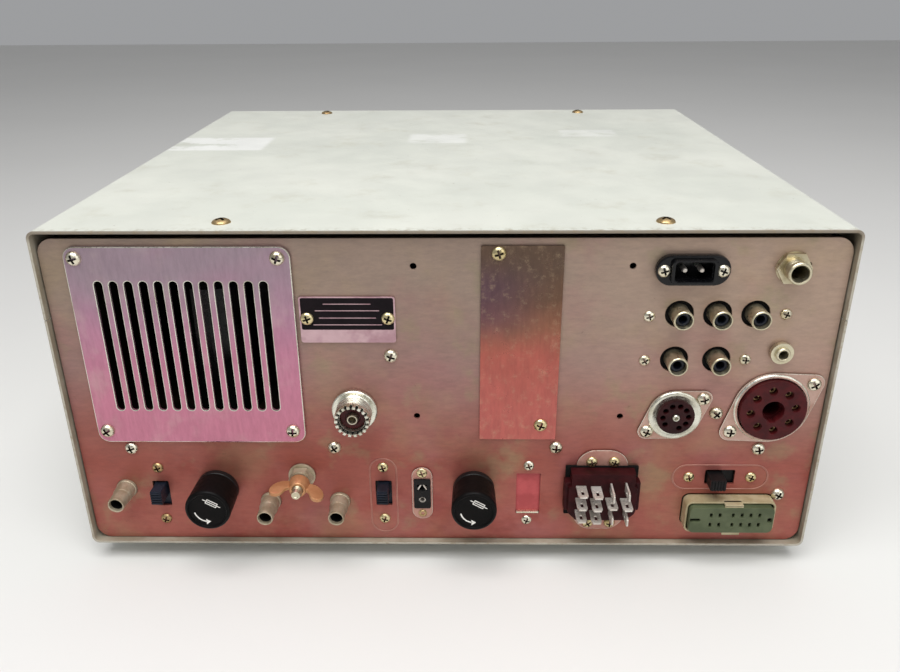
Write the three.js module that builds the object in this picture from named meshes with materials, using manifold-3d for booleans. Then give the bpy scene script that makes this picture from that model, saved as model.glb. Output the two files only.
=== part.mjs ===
// A desktop amateur-radio transceiver of the 1970s: a grey sheet-steel cabinet in two U-shaped covers
// round a chassis, a chromate-plated rear panel full of connectors, and a front panel with a tuning dial.
// Units are millimetres, +Z is up, the operator sits on the -Y side and the connectors face +Y.
import * as THREE from "three";
import { mergeVertices } from "three/addons/utils/BufferGeometryUtils.js";
import Module from "manifold-3d";

const wasm = await Module();
wasm.setup();

// ---- Driving dimensions ---------------------------------------------------------------------------

const CASE_WIDTH = 336.6;
const CASE_HEIGHT = 154;
const COVER_LENGTH = 314.5;
const BEZEL_DEPTH = 19;
const BEZEL_INSET = 3.6; // the covers stand proud of the bezel, which keeps it out of sight from behind
const SHEET = 1.2; // steel of the covers, the chassis and the rear panel
const CORNER = 3.2; // outer bend radius of the covers
const PANEL_TOP = 148.2; // upper edge of the rear panel, which leaves a gap under the top cover
const PANEL_CORNER = 6.8; // of the rear panel, which leaves a gap in the covers' corners
const BEZEL_CORNER = 3;
const WALL_INSET = 8; // chassis walls, from the case's top and underside
const SEAM_HEIGHT = 115; // where the two covers meet on each side
const FOOT_HEIGHT = 10;
const FOOT_RADIUS = 11;
const REAR_RECESS = 3; // rear panel inside the covers' rear edge
const FRONT_RECESS = 4; // front panel inside the bezel's front edge
const DECK_HEIGHT = 50; // chassis deck above the bottom cover
const GAP = 0.3; // left between pieces that touch
const DATUM = 2; // places on the two panels are heights above this, over the case's underside
const PANEL_MIDDLE = CASE_HEIGHT / 2 - DATUM;
const HANDLE_REACH = 18;
const SCREW = { radius: 4, height: 1.9, inset: 13 }; // cover screws, from the covers' ends
const TOP_SCREW_X = 92;
const SIDE_SCREW_Z = 100;
const BOTTOM_SLOTS = { count: 9, pitch: 7, width: 3.4, length: 56 };
const SPEAKER = { x: -85, y: -205 };
const SUPPLY_VENT = { x: 95, y: -75 };
const FUSE_REACH = 19; // fuse caps beyond the rear panel
const TUNING_REACH = 24; // tuning knob beyond the front panel

const REAR_PANEL_Y = -REAR_RECESS;
const FRONT_PANEL_Y = -(COVER_LENGTH + BEZEL_DEPTH - FRONT_RECESS);
const CHASSIS_LENGTH = COVER_LENGTH - 12;

// ---- Places on the rear panel: right of centre as seen from behind, and above the datum ----------------

const VENT = { x: -109.3, z: 98.7, width: 95, height: 92, slots: 12, pitch: 6.37, slot: [3.4, 60] };
const VENT_HOLE = { width: 80, height: 66 };
const NAMEPLATE = { x: -40.2, z: 112.7, width: 40.5, height: 21 };
const BLANKING = { x: 32.8, z: 100, width: 34, height: 90.5 };
const SPARE_HOLES = { x: [-12, 78], z: [66, 136.2], radius: 1.4 };
const ANTENNA = { x: -39.5, z: 69.5 };
const MAINS = { x: 101.9, z: 135.3, width: 30.4, height: 13.2, pin: 3.45 };
const KEY = { x: 142.8, z: 135.7 };
const SPEAKER_OUT = { x: 143.7, z: 97.8 };
const PHONO_UPPER = { x: 115, z: 115, jacks: [-15.9, 0, 15.9], width: 66 };
const PHONO_LOWER = { x: 108, z: 94, jacks: [-9, 9], width: 52 };
const VFO = { x: 101.8, z: 67.2, ear: 14.4, tilt: 34.6 };
const REMOTE = { x: 143.6, z: 70.8, ear: 20.4, tilt: 35.3 };
const POWER = { x: 71.8, z: 27.4 };
const ACCESSORY = { x: 130.9, z: 16.8 };
const FUSES = [{ x: -105.3, z: 28 }, { x: 13.4, z: 28 }];
const GROUND = { x: -65.6, z: 35 };
const AUX_SINGLE = { x: -148.3, z: 27.2 };
const AUX_PAIR = { x: -65.2, z: 20.5, jacks: [-16.2, 16.2], width: 44 };
const DC = { x: -10.4, z: 25.4 };
const SELECTOR = { x: 38.6, z: 24.9, width: 11, height: 22 };
const SWITCHES = [
  { x: -132.2, z: 24.4, upright: true, rest: 2.2 },
  { x: -28.3, z: 25, upright: true, rest: 2.2 },
  { x: 125.9, z: 34.4, upright: false, rest: -2.5 },
];
const SWITCH_WINDOW = [7.5, 13.5];

// ---- Places on the front panel: right of centre as seen from the front, and above the datum ------------

const TUNING = { x: -8, z: 48 };
const DIAL = { x: -8, z: 97, radius: 33.5 };
const DIAL_WINDOW = { x: -8, z: 115, width: 92, height: 36 };
const METER = { x: -112, z: 112, width: 60, height: 40, pivot: 13 };
const PLAIN_KNOBS = {
  drive_knob: { x: 82, z: 112, radius: 11, reach: 18 },
  band_knob: { x: 128, z: 67, radius: 15, reach: 20 },
  mode_knob: { x: 82, z: 67, radius: 12.5, reach: 18 },
  rit_knob: { x: 82, z: 26, radius: 9, reach: 16 },
};
const DUAL_KNOBS = {
  plate_knob: { x: 128, z: 112, ring: "load_ring" },
  af_gain_knob: { x: 128, z: 26, ring: "rf_gain_ring" },
};
const TOGGLES = {
  names: ["power_toggle", "standby_toggle", "calibrator_toggle"],
  x: [-138, -112, -86],
  z: 72,
  tilt: 12,
};
const MIC = { x: -136, z: 30 };
const PHONES = { x: -98, z: 30 };
const SHAFT_HOLE = 3.6;

// ---- Materials --------------------------------------------------------------------------------------

const paint = (color, roughness, metalness) =>
  new THREE.MeshStandardMaterial({ color, roughness, metalness });
const GREY_PAINT = paint(0xb9bbb0, 0.6, 0.1);
const CHROMATE = paint(0xa89480, 0.35, 0.8);
const ALUMINIUM = paint(0xc9c4c8, 0.3, 0.9);
const NICKEL = paint(0xb8b49c, 0.3, 0.9);
const BRASS = paint(0xc88f5a, 0.35, 0.9);
const BAKELITE = paint(0x35121a, 0.35, 0);
const BLACK = paint(0x121214, 0.35, 0);
const GREEN = paint(0x55644c, 0.5, 0);
const DARK_GREY = paint(0x3c3d40, 0.55, 0.2);
const RUBBER = paint(0x1a1a1a, 0.9, 0);
const GLASS = paint(0xcfe0e0, 0.05, 0);
const BOARD = paint(0x7a5a32, 0.6, 0);

// ---- Shape helpers ------------------------------------------------------------------------------------
// A face frame has x to the right and z up as its viewer sees them. "Out" is towards that viewer, along -Y.

const HALF_TURN = Math.PI;
const HOLE_STEPS = 12;
const CORNER_STEPS = 3;
const LATHE_STEPS = 16;
const BARELY = 0.01; // keeps a half-round end from closing up to a point

function solidOf(geometry) {
  const bare = geometry.index ? geometry.toNonIndexed() : geometry.clone();
  bare.deleteAttribute("normal");
  bare.deleteAttribute("uv");
  const merged = mergeVertices(bare, 1e-4);
  const triVerts = new Uint32Array(merged.index.array);
  const build = () =>
    new wasm.Manifold(
      new wasm.Mesh({ numProp: 3, vertProperties: merged.attributes.position.array, triVerts }),
    );
  const solid = build();
  if (solid.volume() > 0) return solid;
  triVerts.reverse();
  return build();
}

function geometryOf(solid) {
  const mesh = solid.getMesh();
  const geometry = new THREE.BufferGeometry();
  geometry.setAttribute("position", new THREE.BufferAttribute(new Float32Array(mesh.vertProperties), 3));
  geometry.setIndex(new THREE.BufferAttribute(new Uint32Array(mesh.triVerts), 1));
  geometry.computeVertexNormals();
  return geometry;
}

const joined = (...solids) => solids.reduce((all, solid) => all.add(solid));

// Points along an arc whose ends are given in quarter turns.
function arc(x, z, radius, from, to, steps) {
  return Array.from({ length: steps + 1 }, (_, i) => {
    const angle = ((from + ((to - from) * i) / steps) * HALF_TURN) / 2;
    return new THREE.Vector2(x + radius * Math.cos(angle), z + radius * Math.sin(angle));
  });
}

const circle = (x, z, radius, steps = HOLE_STEPS) => arc(x, z, radius, 0, 4, steps).slice(1);

function rectangle(x, z, width, height, radius = 0, steps = CORNER_STEPS) {
  const [dx, dz] = [width / 2 - radius, height / 2 - radius];
  const corners = [[dx, -dz], [dx, dz], [-dx, dz], [-dx, -dz]];
  if (radius === 0) return corners.map(([cx, cz]) => new THREE.Vector2(x + cx, z + cz));
  return corners.flatMap(([cx, cz], i) => arc(x + cx, z + cz, radius, i - 1, i, steps));
}

function extruded(outline, depth, holes = []) {
  const shape = new THREE.Shape(outline);
  shape.holes = holes.map((points) => new THREE.Path(points));
  return new THREE.ExtrudeGeometry(shape, { depth, bevelEnabled: false });
}

// A plate in the face frame whose outer face is at "out", thick towards the inside.
function plate(outline, out, thickness, holes) {
  return solidOf(extruded(outline, thickness, holes).rotateX(HALF_TURN / 2).translate(0, thickness - out, 0));
}

// A block in the face frame, from "back" to "front" measured outwards.
function block(x, z, width, height, back, front, radius = 0) {
  return plate(rectangle(x, z, width, height, radius), front, front - back);
}

// A turned piece with its axis straight out of the face. The profile is a list of [radius, out].
function turned(profile, steps = LATHE_STEPS) {
  const points = profile.map(([radius, out]) => new THREE.Vector2(radius, -out));
  return solidOf(new THREE.LatheGeometry(points, steps));
}

const ring = (inner, outer, back, front, steps) =>
  turned([[inner, back], [outer, back], [outer, front], [inner, front], [inner, back]], steps);

function part(name, solid, material, x = 0, z = 0, out = 0) {
  const mesh = new THREE.Mesh(geometryOf(solid), material);
  mesh.name = name;
  mesh.position.set(x, -out, z);
  return mesh;
}

// ---- Cabinet, in a frame whose origin is under the middle of the covers' rear edge -------------------

// The section of a U-shaped cover, from its two open edges round two bends to its closed side.
function coverSection(openZ, closedZ) {
  const side = Math.sign(closedZ - openZ);
  const half = CASE_WIDTH / 2;
  const bendX = half - CORNER;
  const bendZ = closedZ - side * CORNER;
  const inner = CORNER - SHEET;
  return [
    new THREE.Vector2(-half, openZ),
    ...arc(-bendX, bendZ, CORNER, 2 * side, side, CORNER_STEPS),
    ...arc(bendX, bendZ, CORNER, side, 0, CORNER_STEPS),
    new THREE.Vector2(half, openZ),
    new THREE.Vector2(half - SHEET, openZ),
    ...arc(bendX, bendZ, inner, 0, side, CORNER_STEPS),
    ...arc(-bendX, bendZ, inner, side, 2 * side, CORNER_STEPS),
    new THREE.Vector2(-half + SHEET, openZ),
  ];
}

// Rows of sound and cooling slots through the underside.
function bottomSlots(x, y) {
  const { count, pitch, width, length } = BOTTOM_SLOTS;
  const cutters = Array.from({ length: count }, (_, i) => {
    const outline = rectangle(x + (i - (count - 1) / 2) * pitch, y, width, length, width / 2 - BARELY, 1);
    return solidOf(extruded(outline, 4).translate(0, 0, -1));
  });
  return joined(...cutters);
}

// A round-headed screw that holds a cover, sunk a little way into the sheet that it clamps.
const coverScrew = () =>
  turned([
    [0, -SHEET / 2], [SCREW.radius, -SHEET / 2], [SCREW.radius, 0.4], [SCREW.radius * 0.6, SCREW.height],
    [0, SCREW.height]], 10);

function covers() {
  const screwEnds = [-SCREW.inset, SCREW.inset - COVER_LENGTH];
  const topScrews = [-TOP_SCREW_X, TOP_SCREW_X].flatMap((x) =>
    screwEnds.map((y) => coverScrew().rotate([-90, 0, 0]).translate([x, y, CASE_HEIGHT])));
  const sideScrews = [-1, 1].flatMap((side) =>
    screwEnds.map((y) =>
      coverScrew().rotate([0, 0, side * 90]).translate([(side * CASE_WIDTH) / 2, y, SIDE_SCREW_Z])));
  const top = plate(coverSection(SEAM_HEIGHT + GAP / 2, CASE_HEIGHT), COVER_LENGTH, COVER_LENGTH);
  const bottom = plate(coverSection(SEAM_HEIGHT - GAP / 2, 0), COVER_LENGTH, COVER_LENGTH)
    .subtract(bottomSlots(SPEAKER.x, SPEAKER.y))
    .subtract(bottomSlots(SUPPLY_VENT.x, SUPPLY_VENT.y));
  return [
    part("top_cover", joined(top, ...topScrews), GREY_PAINT),
    part("bottom_cover", joined(bottom, ...sideScrews), GREY_PAINT),
  ];
}

function feet() {
  const foot = () =>
    turned(
      [[0, GAP], [9.5, GAP], [FOOT_RADIUS, 2.5], [9.6, FOOT_HEIGHT], [4, FOOT_HEIGHT], [4, 7], [0, 7]],
      12,
    );
  const places = {
    front_left_foot: [-140, -283.5],
    front_right_foot: [140, -283.5],
    rear_left_foot: [-140, -33.5],
    rear_right_foot: [140, -33.5],
  };
  return Object.entries(places).map(([name, [x, y]]) => {
    const mesh = part(name, foot(), RUBBER);
    mesh.position.set(x, y, 0);
    mesh.rotation.x = HALF_TURN / 2; // the foot's outward axis points down
    return mesh;
  });
}

// One H-shaped pressing: two side walls and the deck that carries the units.
function chassis() {
  const half = CASE_WIDTH / 2 - SHEET - GAP - SHEET / 2;
  const wall = (x) => block(x, CASE_HEIGHT / 2, SHEET, CASE_HEIGHT - 2 * WALL_INSET, 0, CHASSIS_LENGTH);
  const deck = block(0, DECK_HEIGHT, 2 * half, SHEET, 0, CHASSIS_LENGTH);
  const mesh = part("chassis", joined(wall(-half), wall(half), deck), CHROMATE);
  mesh.position.y = -(REAR_RECESS + SHEET + 2);
  return mesh;
}

const HANDLE = { y: -160, z: 84, width: 22, strap: 5 };

// A strap handle drawn from the side: two end caps and the strap that stands off between them.
function carryHandle() {
  const outline = [
    [-95, GAP], [-95, 7], [-90, 10], [-70, 11], [-52, HANDLE_REACH],
    [52, HANDLE_REACH], [70, 11], [90, 10], [95, 7],
    [95, GAP], [66, GAP], [48, HANDLE_REACH - HANDLE.strap], [-48, HANDLE_REACH - HANDLE.strap], [-66, GAP],
  ];
  const strap = extruded(outline.map(([along, reach]) => new THREE.Vector2(-reach, along)), HANDLE.width);
  const mesh = part("carry_handle", solidOf(strap.translate(0, 0, -HANDLE.width / 2)), BLACK);
  mesh.position.set(-CASE_WIDTH / 2, HANDLE.y, HANDLE.z);
  return mesh;
}

// ---- Units inside ------------------------------------------------------------------------------------

const DECK_TOP = DECK_HEIGHT + SHEET / 2 + GAP;

function units() {
  const transformer = joined(block(0, 34, 84, 68, -21, 21), block(0, 34, 58, 46, -40, 40, 4));
  const vfo = joined(block(0, 36, 92, 72, 0, 60), block(0, 36, 8, 8, 59, 62));
  const tube = turned([[0, 0], [17, 0], [17, 10], [20, 16], [20, 66], [14, 76], [4, 80], [4, 86], [0, 86]], 16);
  const speaker = turned([[0, 0], [36, 0], [36, 3], [20, 18], [17, 18], [17, 28], [0, 28]]);
  const cans = [-50, -20, 10, 40].flatMap((x) => [30, 80].map((y) => block(x, 7, 11, 13, y, y + 11)));
  const board = joined(block(0, 0, 140, 1.6, 0, 120), ...cans);
  const place = (mesh, x, y, z) => {
    mesh.position.set(x, y, z);
    return mesh;
  };
  return [
    place(part("power_transformer", transformer, DARK_GREY), -85, -110, DECK_TOP),
    place(part("vfo_unit", vfo, ALUMINIUM), TUNING.x, -246, DECK_TOP),
    place(part("final_tube", tube.rotate([-90, 0, 0]), GLASS), 109, -52, DECK_TOP),
    place(part("loudspeaker", speaker.rotate([-90, 0, 0]), DARK_GREY), SPEAKER.x, SPEAKER.y, SHEET + GAP),
    place(part("circuit_board", board, BOARD), 60, -110, 26),
  ];
}

// ---- Rear panel and what is fixed to it -----------------------------------------------------------------

function rearPanel() {
  const windows = SWITCHES.map(({ x, z, upright }) =>
    rectangle(x, z, ...(upright ? SWITCH_WINDOW : [...SWITCH_WINDOW].reverse())));
  const phonos = [PHONO_UPPER, PHONO_LOWER]
    .flatMap(({ x, z, jacks }) => jacks.map((dx) => circle(x + dx, z, 6)));
  const aux = AUX_PAIR.jacks.map((dx) => circle(AUX_PAIR.x + dx, AUX_PAIR.z, 4.8));
  const spares = SPARE_HOLES.x.flatMap((x) => SPARE_HOLES.z.map((z) => circle(x, z, SPARE_HOLES.radius, 8)));
  const holes = [
    rectangle(VENT.x, VENT.z, VENT_HOLE.width, VENT_HOLE.height),
    rectangle(BLANKING.x, BLANKING.z, 24, 34),
    circle(ANTENNA.x, ANTENNA.z, 8.3),
    rectangle(MAINS.x, MAINS.z, 19.6, 11),
    circle(KEY.x, KEY.z, 4.9),
    circle(SPEAKER_OUT.x, SPEAKER_OUT.z, 3.4),
    circle(VFO.x, VFO.z, 10.2, LATHE_STEPS),
    circle(REMOTE.x, REMOTE.z, 15, LATHE_STEPS),
    rectangle(POWER.x, POWER.z, 23, 25),
    rectangle(ACCESSORY.x, ACCESSORY.z, 41.8, 17.2),
    circle(GROUND.x, GROUND.z, 3.3),
    circle(AUX_SINGLE.x, AUX_SINGLE.z, 4.8),
    rectangle(DC.x, DC.z, 8.4, 16.6),
    rectangle(SELECTOR.x, SELECTOR.z, SELECTOR.width, SELECTOR.height),
    ...FUSES.map(({ x, z }) => circle(x, z, 7.8)),
    ...windows,
    ...phonos,
    ...aux,
    ...spares,
  ];
  const width = CASE_WIDTH - 2 * SHEET - 1.4;
  const low = SHEET + GAP - DATUM;
  const height = PANEL_TOP - low;
  const sheet = plate(rectangle(0, low + height / 2, width, height, PANEL_CORNER), 0, SHEET, holes);
  const selectorBlank = block(SELECTOR.x, SELECTOR.z, SELECTOR.width + 6, SELECTOR.height + 3, -2.4, -1);
  return part("rear_panel", sheet.add(selectorBlank), CHROMATE);
}

function coverPlates() {
  const slots = Array.from({ length: VENT.slots }, (_, i) =>
    rectangle((i - (VENT.slots - 1) / 2) * VENT.pitch, 0.7, ...VENT.slot, VENT.slot[0] / 2 - BARELY, 1));
  const vent = plate(rectangle(0, 0, VENT.width, VENT.height, 5), GAP + 1.5, 1.5, slots);
  const name = plate(rectangle(0, 0, NAMEPLATE.width, NAMEPLATE.height, 1.5), GAP + 0.8, 0.8);
  const blank = plate(rectangle(0, 0, BLANKING.width, BLANKING.height), GAP + 1, 1);
  return [
    part("vent_grille", vent, ALUMINIUM, VENT.x, VENT.z),
    part("nameplate", name, BLACK, NAMEPLATE.x, NAMEPLATE.z),
    part("blanking_plate", blank, CHROMATE, BLANKING.x, BLANKING.z),
  ];
}

function antennaConnector() {
  const profile = [
    [0, -14], [6.5, -14], [6.5, -1.5], [7.9, -1.5], [7.9, GAP], [10, GAP], [10, 2.6], [7.9, 2.6],
    [7.9, 11.4], [7.4, 12], [5.7, 12], [5.7, 4], [2.6, 4], [2.6, 10.5], [0, 10.5],
  ];
  return part("antenna_connector", turned(profile), NICKEL, ANTENNA.x, ANTENNA.z);
}

// A row of phono jacks: sleeves that stand through clearance holes from one strip behind the panel.
function phonoStrip(name, { x, z, jacks, width }) {
  const strip = block(0, 0, width, 12, -3.2, -1.6);
  const sleeve = () => turned([[0, -2.4], [4, -2.4], [4, 8], [2.6, 8], [2.6, 1], [0, 1]], 16);
  return part(name, joined(strip, ...jacks.map((dx) => sleeve().translate([dx, 0, 0]))), NICKEL, x, z);
}

const auxSleeve = () =>
  turned([[0, -6], [4.3, -6], [4.3, 5], [3.4, 6], [3.4, 14], [2.6, 14], [2.6, 3], [0, 3]], 16);

function auxJacks() {
  const flange = turned([[0, -6], [6.5, -6], [6.5, -1.6], [0, -1.6]], 12);
  const strip = block(0, 0, AUX_PAIR.width, 10, -3.2, -1.6);
  const sleeves = AUX_PAIR.jacks.map((dx) => auxSleeve().translate([dx, 0, 0]));
  return [
    part("aux_jack", auxSleeve().add(flange), NICKEL, AUX_SINGLE.x, AUX_SINGLE.z),
    part("aux_jack_pair", joined(strip, ...sleeves), NICKEL, AUX_PAIR.x, AUX_PAIR.z),
  ];
}

// A panel jack: threaded barrel, hexagonal nut outside and contact housing inside.
function panelJack(bore, barrel, reach, nut, nutSides, housing, depth) {
  return joined(
    turned([[0, -depth], [housing, -depth], [housing, -1.8], [barrel, -1.8], [barrel, reach], [bore, reach],
      [bore, 4 - depth], [0, 4 - depth]], 16),
    ring(barrel - 0.4, nut, GAP, GAP + 2.4, nutSides),
  );
}

function jacks() {
  return [
    part("key_jack", panelJack(3.2, 4.5, 9, 7.4, 6, 7.5, 26), NICKEL, KEY.x, KEY.z),
    part("speaker_jack", panelJack(1.8, 3, 4.2, 4.1, 12, 5, 16), NICKEL, SPEAKER_OUT.x, SPEAKER_OUT.z),
  ];
}

function mainsInlet() {
  const { width, height } = MAINS;
  const flange = block(0, 0, width, height, GAP, 4, height / 2 - BARELY);
  const shroud = block(0, 0, 18.6, 10.4, -12, 5.5);
  const recess = block(0, 0, 15.6, 8.4, -6, 7);
  const pins = [-MAINS.pin, MAINS.pin].map((x) => block(x, 0, 2.2, 2.2, -6.5, 3.5));
  const solid = joined(flange, shroud).subtract(recess).add(joined(...pins));
  return part("mains_inlet", solid, BLACK, MAINS.x, MAINS.z);
}

// A socket's saddle: a round plate with two ears, as the hull of three circles.
function saddle(radius, ear, earRadius, tilt, thickness) {
  const direction = tilt / 90;
  const lean = (Math.acos((radius - earRadius) / ear) * 2) / HALF_TURN;
  const half = (turn) => {
    const at = direction + turn;
    const angle = (at * HALF_TURN) / 2;
    return [
      ...arc(ear * Math.cos(angle), ear * Math.sin(angle), earRadius, at - lean, at + lean, CORNER_STEPS),
      ...arc(0, 0, radius, at + lean, at + 2 - lean, CORNER_STEPS),
    ];
  };
  return plate([...half(0), ...half(2)], GAP + thickness, thickness);
}

function sockets() {
  const vfo = joined(
    saddle(13, VFO.ear, 4.2, VFO.tilt, 0.8),
    turned([[0, -12], [9.8, -12], [9.8, GAP], [12.6, GAP], [12.6, 2.4], [9.6, 3.2], [0, 3.2]]),
  );
  const octal = joined(
    saddle(17, REMOTE.ear, 4.6, REMOTE.tilt, 0.8),
    turned([[0, -14], [14.6, -14], [14.6, 4], [0, 4]]),
  ).subtract(turned([[0, -15], [4.2, -15], [4.2, 5], [0, 5]], HOLE_STEPS));
  return [
    part("vfo_socket", vfo, BAKELITE, VFO.x, VFO.z),
    part("remote_socket", octal, BAKELITE, REMOTE.x, REMOTE.z),
  ];
}

// The 12-way power plug: a moulded block on a metal saddle, with flat blades in three rows of four.
// The right-hand columns have upright blades in the top and bottom rows, so that it fits one way round.
const BLADES = { columns: [-10.1, -3.4, 3.4, 10.1], rows: [6.3, 0, -6.3], size: [4.7, 0.9], reach: 17 };

function powerPlug() {
  const blades = BLADES.columns.flatMap((x, column) =>
    BLADES.rows.map((z, row) => {
      const [width, height] = column > 1 && row !== 1 ? [...BLADES.size].reverse() : BLADES.size;
      return block(x, z, width, height, 5, BLADES.reach);
    }));
  const solid = joined(
    block(0, 0, 23.4, 43, GAP, GAP + 0.8, 8),
    block(0, 0.4, 31.5, 25, 1, 7.5),
    block(0, 0.4, 34.6, 17, 1, 6),
    block(0, 0, 22, 24, -12, 1.2),
    ...blades,
  );
  return part("power_plug", solid, BAKELITE, POWER.x, POWER.z);
}

function accessoryConnector() {
  const solid = joined(block(0, 0, 41, 16.4, -8, 6.5, 3), block(0, 0, 38.6, 14, 0, 9, 2));
  return part("accessory_connector", solid, GREEN, ACCESSORY.x, ACCESSORY.z);
}

function dcSocket() {
  const solid = joined(block(0, 0, 9.4, 28, GAP, GAP + 0.7, 4.6), block(0, 0, 7.8, 16, -9, 1.6));
  return part("dc_socket", solid, BLACK, DC.x, DC.z);
}

function fuses() {
  return FUSES.flatMap(({ x, z }, i) => [
    part(`fuse_holder_${i + 1}`, turned([[3.8, -36], [7.4, -36], [7.4, GAP], [9.6, GAP], [9.6, 3.2], [3.8, 3.2],
      [3.8, -36]], 16), BLACK, x, z),
    part(`fuse_${i + 1}`, turned([[0, -22], [3.2, -22], [3.2, 9.5], [0, 9.5]], 12), GLASS, x, z),
    part(`fuse_cap_${i + 1}`, turned([[0, 10], [3.8, 10], [3.8, 3.6], [9.8, 3.6], [10.2, FUSE_REACH - 1.4],
      [9.3, FUSE_REACH], [0, FUSE_REACH]]), BLACK, x, z),
  ]);
}

function groundTerminal() {
  const post = joined(
    turned([[0, -8], [2.4, -8], [2.4, 17], [0, 17]], 12),
    ring(2, 6.2, GAP, 1.6, 16),
    ring(2, 5.6, 1.5, 5.6, 6),
    ring(2, 5, -3.6, -1.6, 6),
  );
  // One wing in the plane of the axis, flaring away from the panel.
  const lobe = new THREE.Shape();
  lobe.moveTo(3, -7.4).quadraticCurveTo(8.6, -8, 11.3, -13.6);
  lobe.quadraticCurveTo(12.6, -18.6, 9.2, -18.8).quadraticCurveTo(6.2, -18.6, 5.6, -15);
  lobe.quadraticCurveTo(5.2, -12.8, 3, -12.4).lineTo(3, -7.4);
  const wing = solidOf(extruded(lobe.getPoints(3), 1.8).translate(0, 0, -0.9));
  const nut = joined(
    turned([[2.8, 6.6], [4.7, 6.6], [3.8, 12.8], [2.8, 12.8], [2.8, 6.6]], 12),
    wing,
    wing.rotate([0, 180, 0]),
  );
  const nutMesh = part("wing_nut", nut, BRASS, GROUND.x, GROUND.z);
  nutMesh.rotation.y = THREE.MathUtils.degToRad(9);
  return [part("ground_post", post, NICKEL, GROUND.x, GROUND.z), nutMesh];
}

// A slide switch's knob, with the plate behind the panel that keeps its window covered.
function slideKnobs() {
  return SWITCHES.map(({ x, z, upright, rest }, i) => {
    const turn = (size) => (upright ? size : [...size].reverse());
    const solid = joined(
      block(0, 0, ...turn([5.2, 7.1]), -2.5, 8),
      block(0, 0, ...turn([9.4, 21]), -3, -1.8),
    );
    const at = upright ? [x, z + rest] : [x + rest, z];
    return part(`slide_knob_${i + 1}`, solid, BLACK, ...at);
  });
}

// ---- Front panel and what is fixed to it -----------------------------------------------------------------

function bezel() {
  const outline = rectangle(
    0,
    PANEL_MIDDLE,
    CASE_WIDTH - 2 * BEZEL_INSET,
    CASE_HEIGHT - 2 * BEZEL_INSET,
    BEZEL_CORNER,
  );
  const opening = rectangle(0, PANEL_MIDDLE, CASE_WIDTH - 11, CASE_HEIGHT - 11, 5);
  return part("front_bezel", plate(outline, FRONT_RECESS, BEZEL_DEPTH - GAP, [opening]), DARK_GREY);
}

function frontPanel() {
  const shafts = [...Object.values(PLAIN_KNOBS), ...Object.values(DUAL_KNOBS)]
    .map(({ x, z }) => circle(x, z, SHAFT_HOLE));
  const holes = [
    rectangle(METER.x, METER.z, METER.width, METER.height),
    rectangle(DIAL_WINDOW.x, DIAL_WINDOW.z, DIAL_WINDOW.width, DIAL_WINDOW.height),
    circle(TUNING.x, TUNING.z, 4.4),
    circle(MIC.x, MIC.z, 8.5),
    circle(PHONES.x, PHONES.z, 4.9),
    ...shafts,
    ...TOGGLES.x.map((x) => circle(x, TOGGLES.z, 3.3)),
  ];
  const outline = rectangle(0, PANEL_MIDDLE, CASE_WIDTH - 11.8, CASE_HEIGHT - 11.8, 4.6);
  const bushings = TOGGLES.x.map((x) => ring(3.3, 4.6, -1, 3.5, HOLE_STEPS).translate([x, 0, TOGGLES.z]));
  return part("front_panel", joined(plate(outline, 0, 2, holes), ...bushings), ALUMINIUM);
}

function meter() {
  const { width, height } = METER;
  const solid = joined(
    block(0, 0, width + 4, height + 4, GAP, 3.5, 2),
    block(0, 0, width - 1, height - 1, -28, 1),
  ).subtract(block(0, 0, width - 4, height - 4, -0.3, 5));
  const needle = joined(
    turned([[0, 0.2], [2.6, 0.2], [2.6, 1.8], [0, 1.8]], 12),
    block(0, 12, 0.7, 24, 0.8, 1.4),
  );
  const needleMesh = part("meter_needle", needle, BLACK, METER.x, METER.z - METER.pivot);
  needleMesh.rotation.y = -THREE.MathUtils.degToRad(45);
  return [part("meter", solid, BLACK, METER.x, METER.z), needleMesh];
}

function dial() {
  const { width, height } = DIAL_WINDOW;
  const disc = turned(
    [[0, -14], [2.6, -14], [2.6, -6], [DIAL.radius, -6], [DIAL.radius, -4.6], [0, -4.6]],
    24,
  );
  const pane = block(0, 0, width - 0.6, height - 0.6, -1.9, -0.3);
  return [
    part("dial_window", pane, GLASS, DIAL_WINDOW.x, DIAL_WINDOW.z),
    part("dial_disc", disc, GREEN, DIAL.x, DIAL.z),
  ];
}

// The microphone connector and the headphone jack, on one bracket behind the panel.
function frontJacks() {
  const middle = (MIC.x + PHONES.x) / 2;
  const phonesHole = circle(PHONES.x - middle, 0, 4);
  const solid = joined(
    plate(rectangle(0, 0, 62, 20), -2.4, 1.6, [phonesHole]),
    turned([[0, -12], [7, -12], [7, -3], [8, -3], [8, 5], [6.6, 5], [6.6, 1.6], [0, 1.6]])
      .translate([MIC.x - middle, 0, 0]),
    panelJack(3.2, 4.5, 4.5, 7.2, 6, 4.5, 26).translate([PHONES.x - middle, 0, 0]),
  );
  return part("front_jacks", solid, NICKEL, middle, MIC.z);
}

// ---- Knobs and levers -----------------------------------------------------------------------------

// A knob with a skirt and a shaft through the panel. "foot" is where its underside starts.
const knob = (radius, foot, reach) =>
  turned([[0, -12], [3.1, -12], [3.1, foot], [radius + 2, foot], [radius + 2, foot + 2], [radius, foot + 3],
    [radius * 0.94, reach - 0.8], [radius * 0.86, reach], [0, reach]]);

function tuningKnob() {
  const body = turned([
    [0, -16], [3.9, -16], [3.9, 1], [31, 1], [31, 3.4], [27.5, 4.6], [27, TUNING_REACH - 1.5],
    [25.5, TUNING_REACH], [0, TUNING_REACH]], 28);
  const fingerHole = turned([[0, TUNING_REACH - 3.5], [6.5, TUNING_REACH - 3.5], [6.5, TUNING_REACH + 1],
    [0, TUNING_REACH + 1]], 12).translate([0, 0, 17]);
  return part("tuning_knob", body.subtract(fingerHole), DARK_GREY, TUNING.x, TUNING.z);
}

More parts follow.
